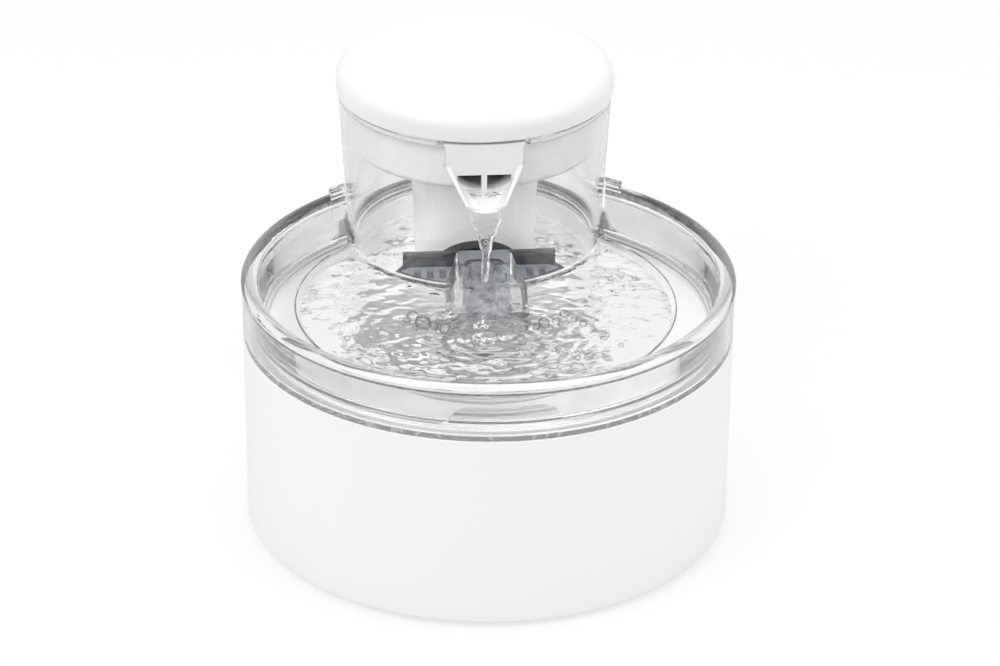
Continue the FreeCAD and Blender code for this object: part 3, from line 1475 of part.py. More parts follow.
# White spout: a fascia in the tower's slot and a scoop that narrows to a rounded lip
def make_spout():
    body = new_body("spout", tower_axis)
    wall = s.spout_wall
    depth = spout_face - spout_root
    face_top = sleeve_top + s.slot_gap
    pad(body, fascia_section(new_sketch(body, "XZ_Plane", spout_root), 0.0, face_top), depth)
    above = new_sketch(body, "XY_Plane", flange_upper + s.spout_flare * 2)
    far = s.sleeve_top_radius * 2
    outline(above, [(-far, -far), (far, -far), (far, far), (-far, far)])
    pocket(body, above, s.spout_flare * 2)
    back = circle(new_sketch(body, "XY_Plane", flange_upper), 0.0, 0.0, spout_back)
    pocket(body, back, (flange_upper - spout_bottom) * 1.1)
    reach = spout_face + s.spout_length
    root = scoop_section(new_sketch(body, "XZ_Plane", spout_face), 0.0, cheek_top)
    lip = lip_section(new_sketch(body, "XZ_Plane", reach), 0.0, lip_top)
    loft(body, root, lip)
    inner_root = scoop_section(new_sketch(body, "XZ_Plane", spout_face), wall, cheek_top + wall, wall)
    lip_wall = wall * 0.6
    inner_lip = new_sketch(body, "XZ_Plane", reach + wall / 2)
    lip_section(inner_lip, lip_wall, lip_top + wall, lip_wall)
    loft(body, inner_root, inner_lip, cut=True)
    window = new_sketch(body, "XZ_Plane", spout_root - wall)
    window_outline(window, s.window_half_width, window_top, spout_bottom + wall + s.window_floor)
    pocket(body, window, depth + wall * 2, up=True)
    rib = new_sketch(body, "XZ_Plane", spout_back + s.shaft_gap * 2)
    half = s.rib_width / 2
    low, high = spout_bottom + wall, window_top + wall / 4
    outline(rib, [(-half, low), (half, low), (half, high), (-half, high)])
    pad(body, rib, spout_face - spout_back - s.shaft_gap * 4)
    return body


# White column with an arched intake, a ledge for the sponge and low slots
def make_riser_column():
    body = new_body("riser_column", tower_axis)
    wall = s.column_wall
    ledge_top = arch_foot - s.sponge_step
    ledge_low = ledge_top - wall
    ledge_radius = s.riser_offset + riser_outer + wall / 2
    profile = [
        (s.column_foot_radius, column_bottom),
        (s.column_top_radius, basin_bottom),
        (s.column_top_radius - wall, basin_bottom),
        (column_radius(ledge_top) - wall, ledge_top),
        (ledge_radius, ledge_top),
        (ledge_radius, ledge_low),
        (column_radius(ledge_low) - wall, ledge_low),
        (s.column_foot_radius - wall, column_bottom),
    ]
    revolve(body, profile)
    arch = new_sketch(body, "XZ_Plane", s.column_top_radius / 3)
    spring = arch_top - s.arch_radius
    half = s.arch_radius
    outline(arch, [(-half, arch_foot), (half, arch_foot), (half, spring, s.arch_radius), (-half, spring)])
    pocket(body, arch, s.column_top_radius, up=True)
    slot = new_sketch(body, "XZ_Plane", s.column_foot_radius - wall * 2)
    half = s.slot_width / 2
    low = column_bottom + s.slot_rise
    high = low + s.slot_height
    outline(slot, [(-half, low), (half, low), (half, high, half), (-half, high)])
    feature = pocket(body, slot, wall * 4, up=True)
    repeat_round(body, [feature], s.slot_count)
    return body


def make_intake_sponge():
    low = arch_foot - s.sponge_step
    height = s.sponge_height
    radius = column_radius(low) - s.column_wall - s.sponge_gap
    foam = cylinder("sponge_solid", radius, height, 0.0, tower_axis, low)
    bore = riser_outer + s.sponge_gap
    hole = cylinder("sponge_hole", bore, height * 2, s.riser_offset, tower_axis, low - height / 2)
    return cut("intake_sponge", foam, hole)


# Riser tube from the impeller chamber to the basin, with a seal at its foot
def make_riser_tube():
    low = chamber_top + s.column_lift
    height = basin_floor + s.riser_rise - low
    return tube("riser_tube", riser_outer, s.riser_bore, height, s.riser_offset, tower_axis, low)


def make_riser_seal():
    inner = riser_outer + s.shaft_gap
    outer = inner + s.seal_wall
    return tube("riser_seal", outer, inner, s.seal_height, s.riser_offset, tower_axis, chamber_top)


# Filter cassette: a D-shaped frame, a pad and a grille
def filter_outline(sketch, inset):
    """The cassette's plan: a straight back, short slanted sides and a front arc round the tower's axis."""
    half = s.filter_half_width - inset
    side = half + s.filter_flare
    back = -(filter_back + inset)
    radius = filter_radius - inset
    front = -chord(radius, side)
    return outline(sketch, [(half, back), (-half, back), (-side, front, radius + front), (side, front)])


def filter_slots(sketch, count, width, length):
    """A row of long slots between the back wall and the front arc."""
    number = int(count.number)
    pitch = (s.filter_half_width * 2 - s.filter_wall * 3) / count
    back = -(filter_back + s.filter_wall * 2)
    front = back - length
    for i in range(number):
        left = pitch * (i + 0.5 - number / 2) - width / 2
        right = left + width
        outline(sketch, [(left, front), (right, front), (right, back), (left, back)])
    return sketch


def make_filter_frame():
    body = new_body("filter_frame", tower_axis)
    plan = filter_outline(new_sketch(body, "XY_Plane", filter_bottom), 0.0)
    pad(body, plan, filter_front_top - filter_bottom)
    back = new_sketch(body, "XY_Plane", filter_front_top)
    half, far, near = s.filter_half_width, -(filter_back + s.filter_wall), -filter_back
    outline(back, [(-half, far), (half, far), (half, near), (-half, near)])
    pad(body, back, filter_back_top - filter_front_top)
    tub = filter_outline(new_sketch(body, "XY_Plane", filter_front_top), s.filter_wall)
    pocket(body, tub, filter_front_top - filter_bottom - s.grille_thick)
    floor = new_sketch(body, "XY_Plane", filter_bottom)
    filter_slots(floor, s.frame_slot_count, s.frame_slot_width, s.frame_slot_length)
    pocket(body, floor, s.grille_thick * 1.5, up=True)
    return body


pad_bottom = filter_bottom + s.grille_thick


def make_carbon_pad():
    body = new_body("carbon_pad", tower_axis)
    plan = filter_outline(new_sketch(body, "XY_Plane", pad_bottom), s.filter_wall + s.pad_gap)
    pad(body, plan, s.pad_thick)
    return body


def make_filter_grille():
    body = new_body("filter_grille", tower_axis)
    low = pad_bottom + s.pad_thick
    plan = filter_outline(new_sketch(body, "XY_Plane", low), s.filter_wall + s.pad_gap)
    pad(body, plan, s.grille_thick)
    holes = new_sketch(body, "XY_Plane", low)
    filter_slots(holes, s.grille_slot_count, s.grille_slot_width, s.grille_slot_length)
    pocket(body, holes, s.grille_thick * 1.5, up=True)
    return body


# White lid: a shallow dome with a round edge and a locating ring that stands in the basin
def make_lid():
    body = new_body("lid", tower_axis)
    wall = s.lid_wall
    roof = lid_edge_height - wall
    ring_outer = basin_radius - s.basin_wall - s.lid_ring_gap
    ring_inner = ring_outer - wall
    land = ring_outer + s.lid_land
    skirt_roof = roof - wall
    ring_foot = flange_upper - s.lid_ring_depth
    profile = [
        (0.0, roof),
        (0.0, lid_edge_height + s.lid_dome, -(s.lid_dome / 3)),
        (lid_radius, lid_edge_height),
        (lid_radius, lid_bottom),
        (lid_radius - wall, lid_bottom),
        (lid_radius - wall, skirt_roof),
        (land, skirt_roof),
        (land, flange_upper),
        (ring_outer, flange_upper),
        (ring_outer, ring_foot),
        (ring_inner, ring_foot),
        (ring_inner, roof),
    ]
    revolve(body, profile)
    round_edges(body, s.lid_round, ring_at(lid_edge_height, lid_radius))
    round_edges(body, s.lid_lip_round, ring_at(lid_bottom, lid_radius))
    return body


# Build every sub-part
PARTS = [
    make_base_shell(),
    make_base_cover(),
    make_rubber_feet(),
    make_cover_screws(),
    make_drive_housing(),
    make_drive_screws(),
    make_stator_core(),
    make_stator_coils(),
    make_control_board(),
    make_board_screws(),
    make_power_inlet(),
    make_water_tank(),
    make_impeller_shaft(),
    make_impeller(),
    make_rotor_magnet(),
    make_impeller_cover(),
    make_drinking_tray(),
    make_splash_ramp(),
    make_tower_sleeve(),
    make_top_basin(),
    make_spout(),
    make_riser_column(),
    make_intake_sponge(),
    make_riser_tube(),
    make_riser_seal(),
    make_filter_frame(),
    make_carbon_pad(),
    make_filter_grille(),
    make_lid(),
]

doc.recompute()
os.makedirs("parts", exist_ok=True)
for item in doc.Objects:
    for trouble in ("Invalid", "Error"):
        if trouble in item.State:
            raise RuntimeError(f"{item.Label}: {item.State}")
for part in PARTS:
    shape = part.Shape
    if shape.isNull() or not shape.isValid():
        raise RuntimeError(f"{part.Label}: the shape is not valid")
    shape.exportStep(f"parts/{part.Label}.step")
    box = shape.BoundBox
    extent = f"z {box.ZMin:.1f} to {box.ZMax:.1f}"
    print(f"{part.Label}: {len(shape.Solids)} solids, {shape.Volume / 1000:.2f} cm3, {extent}")
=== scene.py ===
"""Looks, water, light and camera for the pet water fountain.

The meshes made here are in millimetres in the part's frame, and make_mesh turns them into metres.
"""

import json
import math

import bpy
from mathutils import Matrix, Vector, noise


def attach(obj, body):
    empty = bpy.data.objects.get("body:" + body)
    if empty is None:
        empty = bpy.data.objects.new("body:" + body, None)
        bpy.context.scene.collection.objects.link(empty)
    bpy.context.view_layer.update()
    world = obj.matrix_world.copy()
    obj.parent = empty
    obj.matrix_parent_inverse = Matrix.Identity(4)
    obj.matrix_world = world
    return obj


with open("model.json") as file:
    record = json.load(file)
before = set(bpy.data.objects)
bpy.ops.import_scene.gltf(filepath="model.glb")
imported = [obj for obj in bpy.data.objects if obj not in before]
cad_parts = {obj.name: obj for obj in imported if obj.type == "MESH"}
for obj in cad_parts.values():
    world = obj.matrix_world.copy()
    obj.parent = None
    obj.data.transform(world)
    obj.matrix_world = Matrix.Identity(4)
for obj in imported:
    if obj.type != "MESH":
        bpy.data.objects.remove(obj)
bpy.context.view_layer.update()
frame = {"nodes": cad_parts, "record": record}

MM = 0.001
WHITE = (1, 1, 1, 1)
WATER_IOR = 1.333
CLEAR_IOR = 1.44
# Share of the light that passes a clear plastic without bending
STRAIGHT_SHARE = 0.08
FILM_ROUGHNESS = 0.03
# Painted glow of the milky tub, standing in for light that its white shell would scatter into the tank
MILK_GLOW = 0.22

# Places that the water shares with the solids, in millimetres
TOWER_Y = 62.2
BOWL_Y = -21.8
POOL_Y = -9.8
POOL_RADIUS = 76.2
POOL_FLOOR = 73.0
WEIR_RADIUS = 52.2
WATER_LEVEL = 85.0
TANK_LEVEL = 73.7
BASIN_LEVEL = 134.6
BASIN_RADIUS = 49.2
COLUMN_CLEAR, TOWER_INSIDE = 25.6, 50.2
RAMP_TOP, RAMP_RUN, RAMP_RISE = 6.6, 43.0, 30.4
RAMP_FACE_DROP = 1.1
SPLASH_Y = -37.0


# Colours and nodes
def linear(code):
    """A linear RGBA colour from an sRGB hex code."""
    parts = [int(code[i:i + 2], 16) / 255 for i in (0, 2, 4)]
    return tuple(c / 12.92 if c <= 0.04045 else ((c + 0.055) / 1.055) ** 2.4 for c in parts) + (1.0,)


def add(tree, kind, settings=None, inputs=None):
    """Adds a node, sets its properties, and sets or links its inputs."""
    node = tree.nodes.new(kind)
    for key, value in (settings or {}).items():
        setattr(node, key, value)
    for key, value in (inputs or {}).items():
        if isinstance(value, bpy.types.NodeSocket):
            tree.links.new(value, node.inputs[key])
        else:
            node.inputs[key].default_value = value
    return node


def new_material(name):
    material = bpy.data.materials.new(name)
    material.use_nodes = True
    material.node_tree.nodes.clear()
    return material, material.node_tree


def close(tree, shader):
    """Puts a shader on the material's output."""
    add(tree, "ShaderNodeOutputMaterial", inputs={"Surface": shader})


def principled(tree, inputs):
    return add(tree, "ShaderNodeBsdfPrincipled", inputs=inputs).outputs["BSDF"]


def emission(tree, strength):
    inputs = {"Color": WHITE, "Strength": strength}
    return add(tree, "ShaderNodeEmission", inputs=inputs).outputs["Emission"]


def mix_shaders(tree, share, first, second):
    """The first shader, with a share of the second."""
    return add(tree, "ShaderNodeMixShader", inputs={0: share, 1: first, 2: second}).outputs["Shader"]


def mix_colours(tree, share, first, second):
    """The first colour, with a share of the second, both as sRGB codes."""
    inputs = {0: share, 6: linear(first), 7: linear(second)}
    return add(tree, "ShaderNodeMix", {"data_type": "RGBA"}, inputs).outputs[2]


def remap(tree, value, low, high, start=0.0, end=1.0, kind="LINEAR"):
    """Maps a value that runs from start to end onto low to high."""
    inputs = {"Value": value, "From Min": start, "From Max": end, "To Min": low, "To Max": high}
    return add(tree, "ShaderNodeMapRange", {"interpolation_type": kind}, inputs).outputs["Result"]


def calculate(tree, operation, first, second):
    return add(tree, "ShaderNodeMath", {"operation": operation}, {0: first, 1: second}).outputs[0]


def position(tree):
    return add(tree, "ShaderNodeNewGeometry").outputs["Position"]


def cloud(tree, size_mm, detail, roughness=0.5, distortion=0.0):
    """A noise whose cell is size_mm wide."""
    inputs = {
        "Vector": position(tree), "Scale": 1000 / size_mm, "Detail": detail,
        "Roughness": roughness, "Distortion": distortion,
    }
    return add(tree, "ShaderNodeTexNoise", inputs=inputs).outputs["Fac"]


def bump(tree, height, height_mm, invert=False):
    inputs = {"Height": height, "Distance": height_mm * MM, "Strength": 1.0}
    return add(tree, "ShaderNodeBump", {"invert": invert}, inputs).outputs["Normal"]


def grain(tree, size_mm, height_mm, detail=3.0):
    """A fine bump and the noise that it comes from."""
    field = cloud(tree, size_mm, detail)
    return bump(tree, field, height_mm), field


def shadow_mix(tree, shader, code):
    """Lets lamp light through a clear shader, tinted by the plastic or the water."""
    path = add(tree, "ShaderNodeLightPath")
    through = add(tree, "ShaderNodeBsdfTransparent", inputs={"Color": linear(code)}).outputs["BSDF"]
    return mix_shaders(tree, path.outputs["Is Shadow Ray"], shader, through)


def thin_film(tree, colour, ior, normal=None):
    """A clear skin that doesn't bend light: see-through, with the same Fresnel gloss on both its sides."""
    through = add(tree, "ShaderNodeBsdfTransparent", inputs={"Color": colour}).outputs["BSDF"]
    backface = add(tree, "ShaderNodeNewGeometry").outputs["Backfacing"]
    gloss_inputs = {"Roughness": FILM_ROUGHNESS}
    edge_inputs = {"IOR": remap(tree, backface, ior, 1 / ior)}
    if normal is not None:
        gloss_inputs["Normal"] = normal
        edge_inputs["Normal"] = normal
    gloss = add(tree, "ShaderNodeBsdfAnisotropic", inputs=gloss_inputs).outputs["BSDF"]
    edge = add(tree, "ShaderNodeFresnel", inputs=edge_inputs).outputs["Fac"]
    return mix_shaders(tree, edge, through, gloss)


# Kinds of material
def plastic(name, code, roughness, height_mm=0.004):
    """An opaque moulded plastic: an even colour, a fine mould grain and faint uneven gloss."""
    material, tree = new_material(name)
    normal, field = grain(tree, 0.8, height_mm)
    close(tree, principled(tree, {
        "Base Color": linear(code),
        "Roughness": remap(tree, field, roughness * 0.85, roughness * 1.15),
        "Normal": normal,
    }))
    return material


def metal(name, code, roughness):
    """A bare metal with fine uneven gloss."""
    material, tree = new_material(name)
    normal, field = grain(tree, 0.6, 0.003)
    close(tree, principled(tree, {
        "Base Color": linear(code),
        "Metallic": 1.0,
        "Roughness": remap(tree, field, roughness * 0.8, roughness * 1.25),
        "Normal": normal,
    }))
    return material


def foam(name, code, size_mm):
    """Open-cell foam: dark pits between lighter threads."""
    material, tree = new_material(name)
    inputs = {"Vector": position(tree), "Scale": 1000 / size_mm}
    cells = add(tree, "ShaderNodeTexVoronoi", {"feature": "DISTANCE_TO_EDGE"}, inputs)
    normal = bump(tree, cells.outputs["Distance"], 0.4, invert=True)
    close(tree, principled(tree, {"Base Color": linear(code), "Roughness": 0.95, "Normal": normal}))
    return material


def clear(name, code, ior, roughness, shade, thin, size_mm=None, height_mm=0.0):
    """A clear plastic or water. The share thin of it passes light straight, which softens its dark edges."""
    material, tree = new_material(name)
    inputs = {"Base Color": linear(code), "Roughness": roughness, "IOR": ior, "Transmission Weight": 1.0}
    normal = None
    if size_mm:
        normal = grain(tree, size_mm, height_mm, 2.0)[0]
        inputs["Normal"] = normal
    film = thin_film(tree, linear(code), ior, normal)
    body = mix_shaders(tree, thin, principled(tree, inputs), film)
    close(tree, shadow_mix(tree, body, shade))
    return material


def milky_tub(name, top_mm):
    """Clear plastic whose tub, below top_mm, is milky and hides what is under it. The milk has a painted
    glow and faint patches of painted grey shade.
    """
    material, tree = new_material(name)
    glass = principled(tree, {
        "Base Color": linear("FEFEFE"), "Roughness": 0.02, "IOR": CLEAR_IOR, "Transmission Weight": 1.0,
    })
    bright = mix_shaders(tree, STRAIGHT_SHARE, glass, thin_film(tree, linear("FEFEFE"), CLEAR_IOR))
    # Painted shade: faint grey patches in the milk, which the ripples carry into the pool as dark blotches
    shade = remap(tree, cloud(tree, 60.0, 2.0), 0.0, 1.0, 0.4, 0.62)
    milk = principled(tree, {
        "Base Color": mix_colours(tree, shade, "DEDFDF", "F4F4F3"),
        "Roughness": 0.35,
        # Painted glow: the milk gives off light of its own, though it is no lamp
        "Emission Color": WHITE,
        "Emission Strength": MILK_GLOW,
    })
    height = add(tree, "ShaderNodeSeparateXYZ", inputs={"Vector": position(tree)}).outputs["Z"]
    tub = remap(tree, height, 0.0, 1.0, top_mm * MM, (top_mm - 1.0) * MM)
    close(tree, mix_shaders(tree, tub, shadow_mix(tree, bright, "FFFFFF"), milk))
    return material


def open_water(name, deep, pale, size_mm):
    """Stirred water: large grey and pale patches of painted reflection and shade in its colour, with ripples
    that bend what is under them.
    """
    material, tree = new_material(name)
    field = cloud(tree, size_mm, 4.0, 0.55, 1.6)
    # Painted reflections and shade: the noise mixes grey and pale patches into the water's colour
    painted_reflection_share = remap(tree, field, 0.0, 1.0, 0.41, 0.55, "SMOOTHSTEP")
    body = principled(tree, {
        "Base Color": mix_colours(tree, painted_reflection_share, deep, pale),
        "Roughness": 0.0,
        "IOR": WATER_IOR,
        "Transmission Weight": 1.0,
        "Normal": grain(tree, size_mm * 0.9, 1.1, 2.0)[0],
    })
    close(tree, shadow_mix(tree, body, "FCFDFD"))
    return material


def wet_face(name, deep, pale, size_mm):
    """Water that runs over the ramp, partly see-through: mottled grey-blue painted shade with bright painted
    glints.
    """
    material, tree = new_material(name)
    field = cloud(tree, size_mm, 5.0, 0.65)
    # Painted shade and glints: the noise mixes dark grey-blue and pale into the water's colour
    painted_glint_share = remap(tree, field, 0.0, 1.0, 0.35, 0.72)
    normal = bump(tree, field, 0.7)
    body = principled(tree, {
        "Base Color": mix_colours(tree, painted_glint_share, deep, pale),
        "Roughness": 0.06,
        "IOR": WATER_IOR,
        "Normal": normal,
    })
    film = thin_film(tree, linear("F4F6F8"), WATER_IOR, normal)
    close(tree, mix_shaders(tree, 0.45, body, film))
    return material


def bubble_skin(name, code, painted_edge_shade_code, ior):
    """A bubble's skin: clear in the middle, with painted shade darkening it towards its outline, and a
    bright gloss.
    """
    material, tree = new_material(name)
    facing = add(tree, "ShaderNodeLayerWeight", inputs={"Blend": 0.35}).outputs["Facing"]
    # Painted shade: the skin's see-through colour darkens towards the outline
    close(tree, thin_film(tree, mix_colours(tree, facing, code, painted_edge_shade_code), ior))
    return material


# Satin white ABS gives the eye the soft, nearly even white of the base, lid, basin and spout
white_abs = plastic("White_ABS", "F0F0EF", 0.32)
# Clear polycarbonate gives crisp grey edge lines and bright rims
clear_plastic = clear("Clear_Polycarbonate", "FEFEFE", CLEAR_IOR, 0.015, "FFFFFF", STRAIGHT_SHARE)
# The tower's thin clear wall gives almost nothing but its edges
tower_plastic = clear("Tower_Polycarbonate", "FEFEFE", 1.27, 0.01, "FFFFFF", STRAIGHT_SHARE)
# The tank's collar is clear and its tub milky, so the bowl has a pale ground; the milk carries a painted
# glow and faint painted grey shade
tank_plastic = milky_tub("Tank_Polycarbonate", 83.0)
# Navy plastic gives the one dark, cool accent behind the ramp
navy_plastic = plastic("Navy_ABS", "0A0C18", 0.35)
# Pale grille plastic shows the lattice of the cassette
pale_plastic = plastic("Pale_Grille", "9A9EA6", 0.4)
# Black nylon gives the drive and the inlet a dull dark grey
black_plastic = plastic("Black_Nylon", "17181A", 0.5, 0.008)
# Black foam gives the arch its flat, deep black
black_foam = foam("Intake_Foam", "08090A", 1.4)
# Grey felt keeps the grille's slots quiet
filter_felt = foam("Filter_Felt", "6E7176", 0.9)
# Rubber gives the feet a dull mid grey
foot_rubber = plastic("Foot_Rubber", "55585B", 0.75, 0.01)
# Silicone gives the seal a warm, dull pale grey
seal_rubber = plastic("Seal_Silicone", "B9B8B2", 0.6)
# Zinc-plated steel gives the screws a soft bright gloss
steel = metal("Zinc_Steel", "C2C2BE", 0.32)
# Sheet steel gives the stator a darker, duller gloss than the screws
lamination = metal("Stator_Sheets", "7E8184", 0.45)
# Enamelled wire gives the coils their copper red
copper_wire = metal("Enamelled_Copper", "B4623A", 0.35)
# Solder mask gives the board its deep green
circuit_board = plastic("Circuit_Board", "14532E", 0.35)
# Ceramic gives the pin a polished off-white
ceramic = plastic("Ceramic_Shaft", "EFEDE6", 0.15)
# Ferrite gives the rotor a near black
magnet = plastic("Ferrite", "1C1C1E", 0.4)
# Water in the tower and over the weir gives broken highlights
water = clear("Water", "FBFCFD", WATER_IOR, 0.0, "FCFDFD", 0.1, 11.0, 1.1)
# The bowl's stirred water adds grey and blue-grey patches of painted reflection and shade
pool_film = open_water("Pool_Water", "666C75", "DFE0DF", 12.0)
# Falling water is brighter, with a fine ripple
stream_film = clear("Water_Falling", "FCFDFD", WATER_IOR, 0.0, "FCFDFD", 0.1, 3.0, 0.5)
# A bubble shows only as a thin ring: a bright gloss and a painted dark edge
bubble_film = bubble_skin("Bubble_Film", "FDFDFD", "4E5257", 1.6)
# Water on the ramp hides the clear face behind a moving skin of painted grey-blue shade and painted glints
ramp_film = wet_face("Ramp_Water", "565B63", "C9CCD0", 3.4)

BY_SLOT = {
    "white_abs": white_abs,
    "clear_plastic": clear_plastic,
    "navy_plastic": navy_plastic,
    "pale_plastic": pale_plastic,
    "black_plastic": black_plastic,
    "black_foam": black_foam,
    "filter_felt": filter_felt,
    "rubber": foot_rubber,
    "seal_rubber": seal_rubber,
    "steel": steel,
    "lamination": lamination,
    "copper_wire": copper_wire,
    "circuit_board": circuit_board,
    "ceramic": ceramic,
    "magnet": magnet,
}


def dress(node, material):
    """Gives a solid one material."""
    materials = frame["nodes"][node].data.materials
    materials.clear()
    materials.append(material)


for part in frame["record"]["subparts"]:
    dress(part["node"], BY_SLOT[part["material_slot"]])
dress("water_tank", tank_plastic)
dress("tower_sleeve", tower_plastic)


# Meshes
def make_mesh(name, points, faces, material, body):
    """A smooth mesh from points in millimetres, riding on a body."""
    mesh = bpy.data.meshes.new(name)
    mesh.from_pydata([Vector(p) * MM for p in points], [], faces)
    mesh.polygons.foreach_set("use_smooth", [True] * len(mesh.polygons))
    mesh.materials.append(material)
    obj = bpy.data.objects.new(name, mesh)
    bpy.context.scene.collection.objects.link(obj)
    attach(obj, body)


def grid_faces(rows, columns, closed):
    """Quads of a grid of points, row by row. A closed grid joins its last column to its first."""
    faces = []
    for r in range(rows - 1):
        for c in range(columns if closed else columns - 1):
            d = (c + 1) % columns
            faces.append((r * columns + c, r * columns + d, (r + 1) * columns + d, (r + 1) * columns + c))
    return faces


def swell(x, y, size, seed=0.0):
    """A smooth height between -1 and 1 from noise cells of a size."""
    return noise.noise(Vector((x / size, y / size, seed)))


def around(reach, turn, middle):
    """The point at a distance and an angle from a centre on the Y axis."""
    return reach * math.cos(turn), middle + reach * math.sin(turn)


# Drinking water
def pool_height(x, y):
    """The bowl's surface: rings from the ramp's foot, cross chop and small wavelets."""
    d = math.hypot(x, (y - SPLASH_Y) * 1.1)
    bend = d + 6.0 * swell(x, y, 20.0, 3.0)
    fade = math.exp(-((d / 36.0) ** 2))
    rings = 0.42 * math.sin(bend / 1.05) * fade * (0.6 + 0.7 * swell(x, y, 12.0, 8.0))
    chop = 0.9 * swell(x, y * 1.7, 13.0) + 0.36 * swell(x, y * 1.8, 4.6, 7.0)
    near = math.exp(-((d / 40.0) ** 2))
    return WATER_LEVEL + rings + chop * (0.4 + 0.75 * near)


def pool_reach(turn):
    """Distance from the pool's centre to its edge, or to the weir under the tower."""
    apart = TOWER_Y - POOL_Y
    along = math.sin(turn) * apart
    miss = apart ** 2 - along * along
    if along > 0 and miss < WEIR_RADIUS ** 2:
        return min(POOL_RADIUS, along - math.sqrt(WEIR_RADIUS ** 2 - miss))
    return POOL_RADIUS


def pool_water():
    """The bowl's water, calm along its edge."""
    columns, rows, calm_rows, hub = 300, 96, 6, 0.15
    points = []
    for r in range(rows):
        for c in range(columns):
            turn = 2 * math.pi * c / columns
            reach = pool_reach(turn) * math.sqrt((r + hub) / (rows - 1 + hub))
            x, y = around(reach, turn, POOL_Y)
            edge = min(1.0, (rows - 1 - r) / calm_rows)
            points.append((x, y, WATER_LEVEL + (pool_height(x, y) - WATER_LEVEL) * edge))
    faces = grid_faces(rows, columns, True)
    faces.append(tuple(range(columns))[::-1])
    make_mesh("pool_water", points, faces, pool_film, "tray")


def tower_water():
    """Water in the tank, round the column's foot."""
    columns, rows = 160, 30
    points = []
    for r in range(rows):
        for c in range(columns):
            reach = COLUMN_CLEAR + (TOWER_INSIDE - COLUMN_CLEAR) * r / (rows - 1)
            x, y = around(reach, 2 * math.pi * c / columns, TOWER_Y)
            points.append((x, y, TANK_LEVEL + 0.5 * swell(x, y, 9.0, 5.0) + 0.25 * swell(x, y, 3.5, 6.0)))
    make_mesh("tower_water", points, grid_faces(rows, columns, True), water, "tank")


def weir_water():
    """Water that creeps over the weir, under the tower's front edge."""
    # Distance from the tower's axis, and height
    profile = [
        (54.6, 85.1), (53.4, 85.3), (52.3, 85.2), (51.4, 84.9), (50.8, 83.8), (50.6, 81.0), (50.5, 77.0),
    ]
    columns, spread = 150, 124.0
    points = []
    for reach, z in profile:
        for c in range(columns):
            turn = math.radians(-90.0 + spread * (c / (columns - 1) - 0.5))
            x, y = around(reach, turn, TOWER_Y)
            points.append((x, y, z + 0.45 * swell(x, y, 3.6, z * 0.05)))
    make_mesh("weir_water", points, grid_faces(len(profile), columns, False), water, "tray")


def basin_water():
    """Water behind the spout's window."""
    columns, rows = 64, 14
    points = []
    for r in range(rows):
        for c in range(columns):
            reach = BASIN_RADIUS * (r + 0.2) / (rows - 0.8)
            x, y = around(reach, 2 * math.pi * c / columns, TOWER_Y)
            points.append((x, y, BASIN_LEVEL + 0.35 * swell(x, y, 6.0, 9.0)))
    make_mesh("basin_water", points, grid_faces(rows, columns, True), stream_film, "pump_insert")


# Falling water: a sheet that leaves the lip and draws together into a thin twisted stream.
# Each row is y, z, half width and half thickness.
STREAM = [
    (4.0, 132.2, 9.5, 1.2),
    (0.0, 130.8, 8.6, 1.3),
    (-4.0, 129.0, 7.6, 1.3),
    (-7.0, 127.4, 6.9, 1.3),
    (-8.2, 125.2, 6.4, 1.3),
    (-8.2, 121.5, 5.2, 1.4),
    (-7.6, 117.5, 4.1, 1.6),
    (-6.9, 113.5, 3.0, 1.8),
    (-6.2, 109.5, 2.2, 1.9),
    (-5.6, 105.5, 1.8, 1.7),
    (-5.0, 101.5, 1.9, 1.6),
    (-4.4, 97.6, 2.4, 1.6),
    (-4.2, 95.0, 2.8, 1.2),
]
TWIST_START, TWIST_FALL, TWIST_RATE = 118.0, 22.0, 1.1
STREAM_DEPTH_SHARE = 0.8


def stream_water():
    columns, steps = 28, 6
    stations = []
    for start, end in zip(STREAM, STREAM[1:]):
        for k in range(steps):
            t = k / steps
            stations.append([a + (b - a) * t for a, b in zip(start, end)])
    stations.append(list(STREAM[-1]))
    points = []
    for y, z, wide, thick in stations:
        twist = max(0.0, (TWIST_START - z) / TWIST_FALL) * TWIST_RATE
        for c in range(columns):
            turn = 2 * math.pi * c / columns
            ripple = 1.0 + 0.22 * swell(math.cos(turn) * 6 + 20, z * 0.9 + math.sin(turn) * 3, 3.4, 2.0)
            u, v = wide * math.cos(turn) * ripple, thick * math.sin(turn) * ripple
            x = u * math.cos(twist) - v * math.sin(twist)
            deep = (u * math.sin(twist) + v * math.cos(twist)) * STREAM_DEPTH_SHARE
            points.append((x, y + deep, z))
    rows = len(stations)
    faces = grid_faces(rows, columns, True)
    faces.append(tuple(range(columns)))
    faces.append(tuple((rows - 1) * columns + c for c in reversed(range(columns))))
    make_mesh("stream_water", points, faces, stream_film, "pump_insert")


def ramp_water():
    """A skin of running water on the ramp's inner face, with a rounded head."""
    columns, rows = 40, 70
    head_gap, length = 3.9, 24.5
    head_half, widening, head_share = 8.5, 2.3, 0.12
    lift, thickness = 0.15, 0.45
    points = []
    for r in range(rows):
        t = r / (rows - 1)
        y = RAMP_TOP - head_gap - t * length
        rounding = min(1.0, 0.55 + 0.45 * math.sqrt(min(1.0, t / head_share)))
        half = (head_half + widening * t) * rounding
        face = POOL_FLOOR + RAMP_RISE * (1 - (RAMP_TOP - y) / RAMP_RUN) - RAMP_FACE_DROP
        for c in range(columns):
            u = c / (columns - 1) * 2 - 1
            x = u * half
            edge = 1 - abs(u) ** 8
            ripple = 0.3 * swell(x, y, 3.0, 4.0) + 0.22 * swell(x, y, 1.6, 4.5)
            points.append((x, y, face + lift + edge * (thickness + ripple)))
    make_mesh("ramp_water", points, grid_faces(rows, columns, False), ramp_film, "tray")


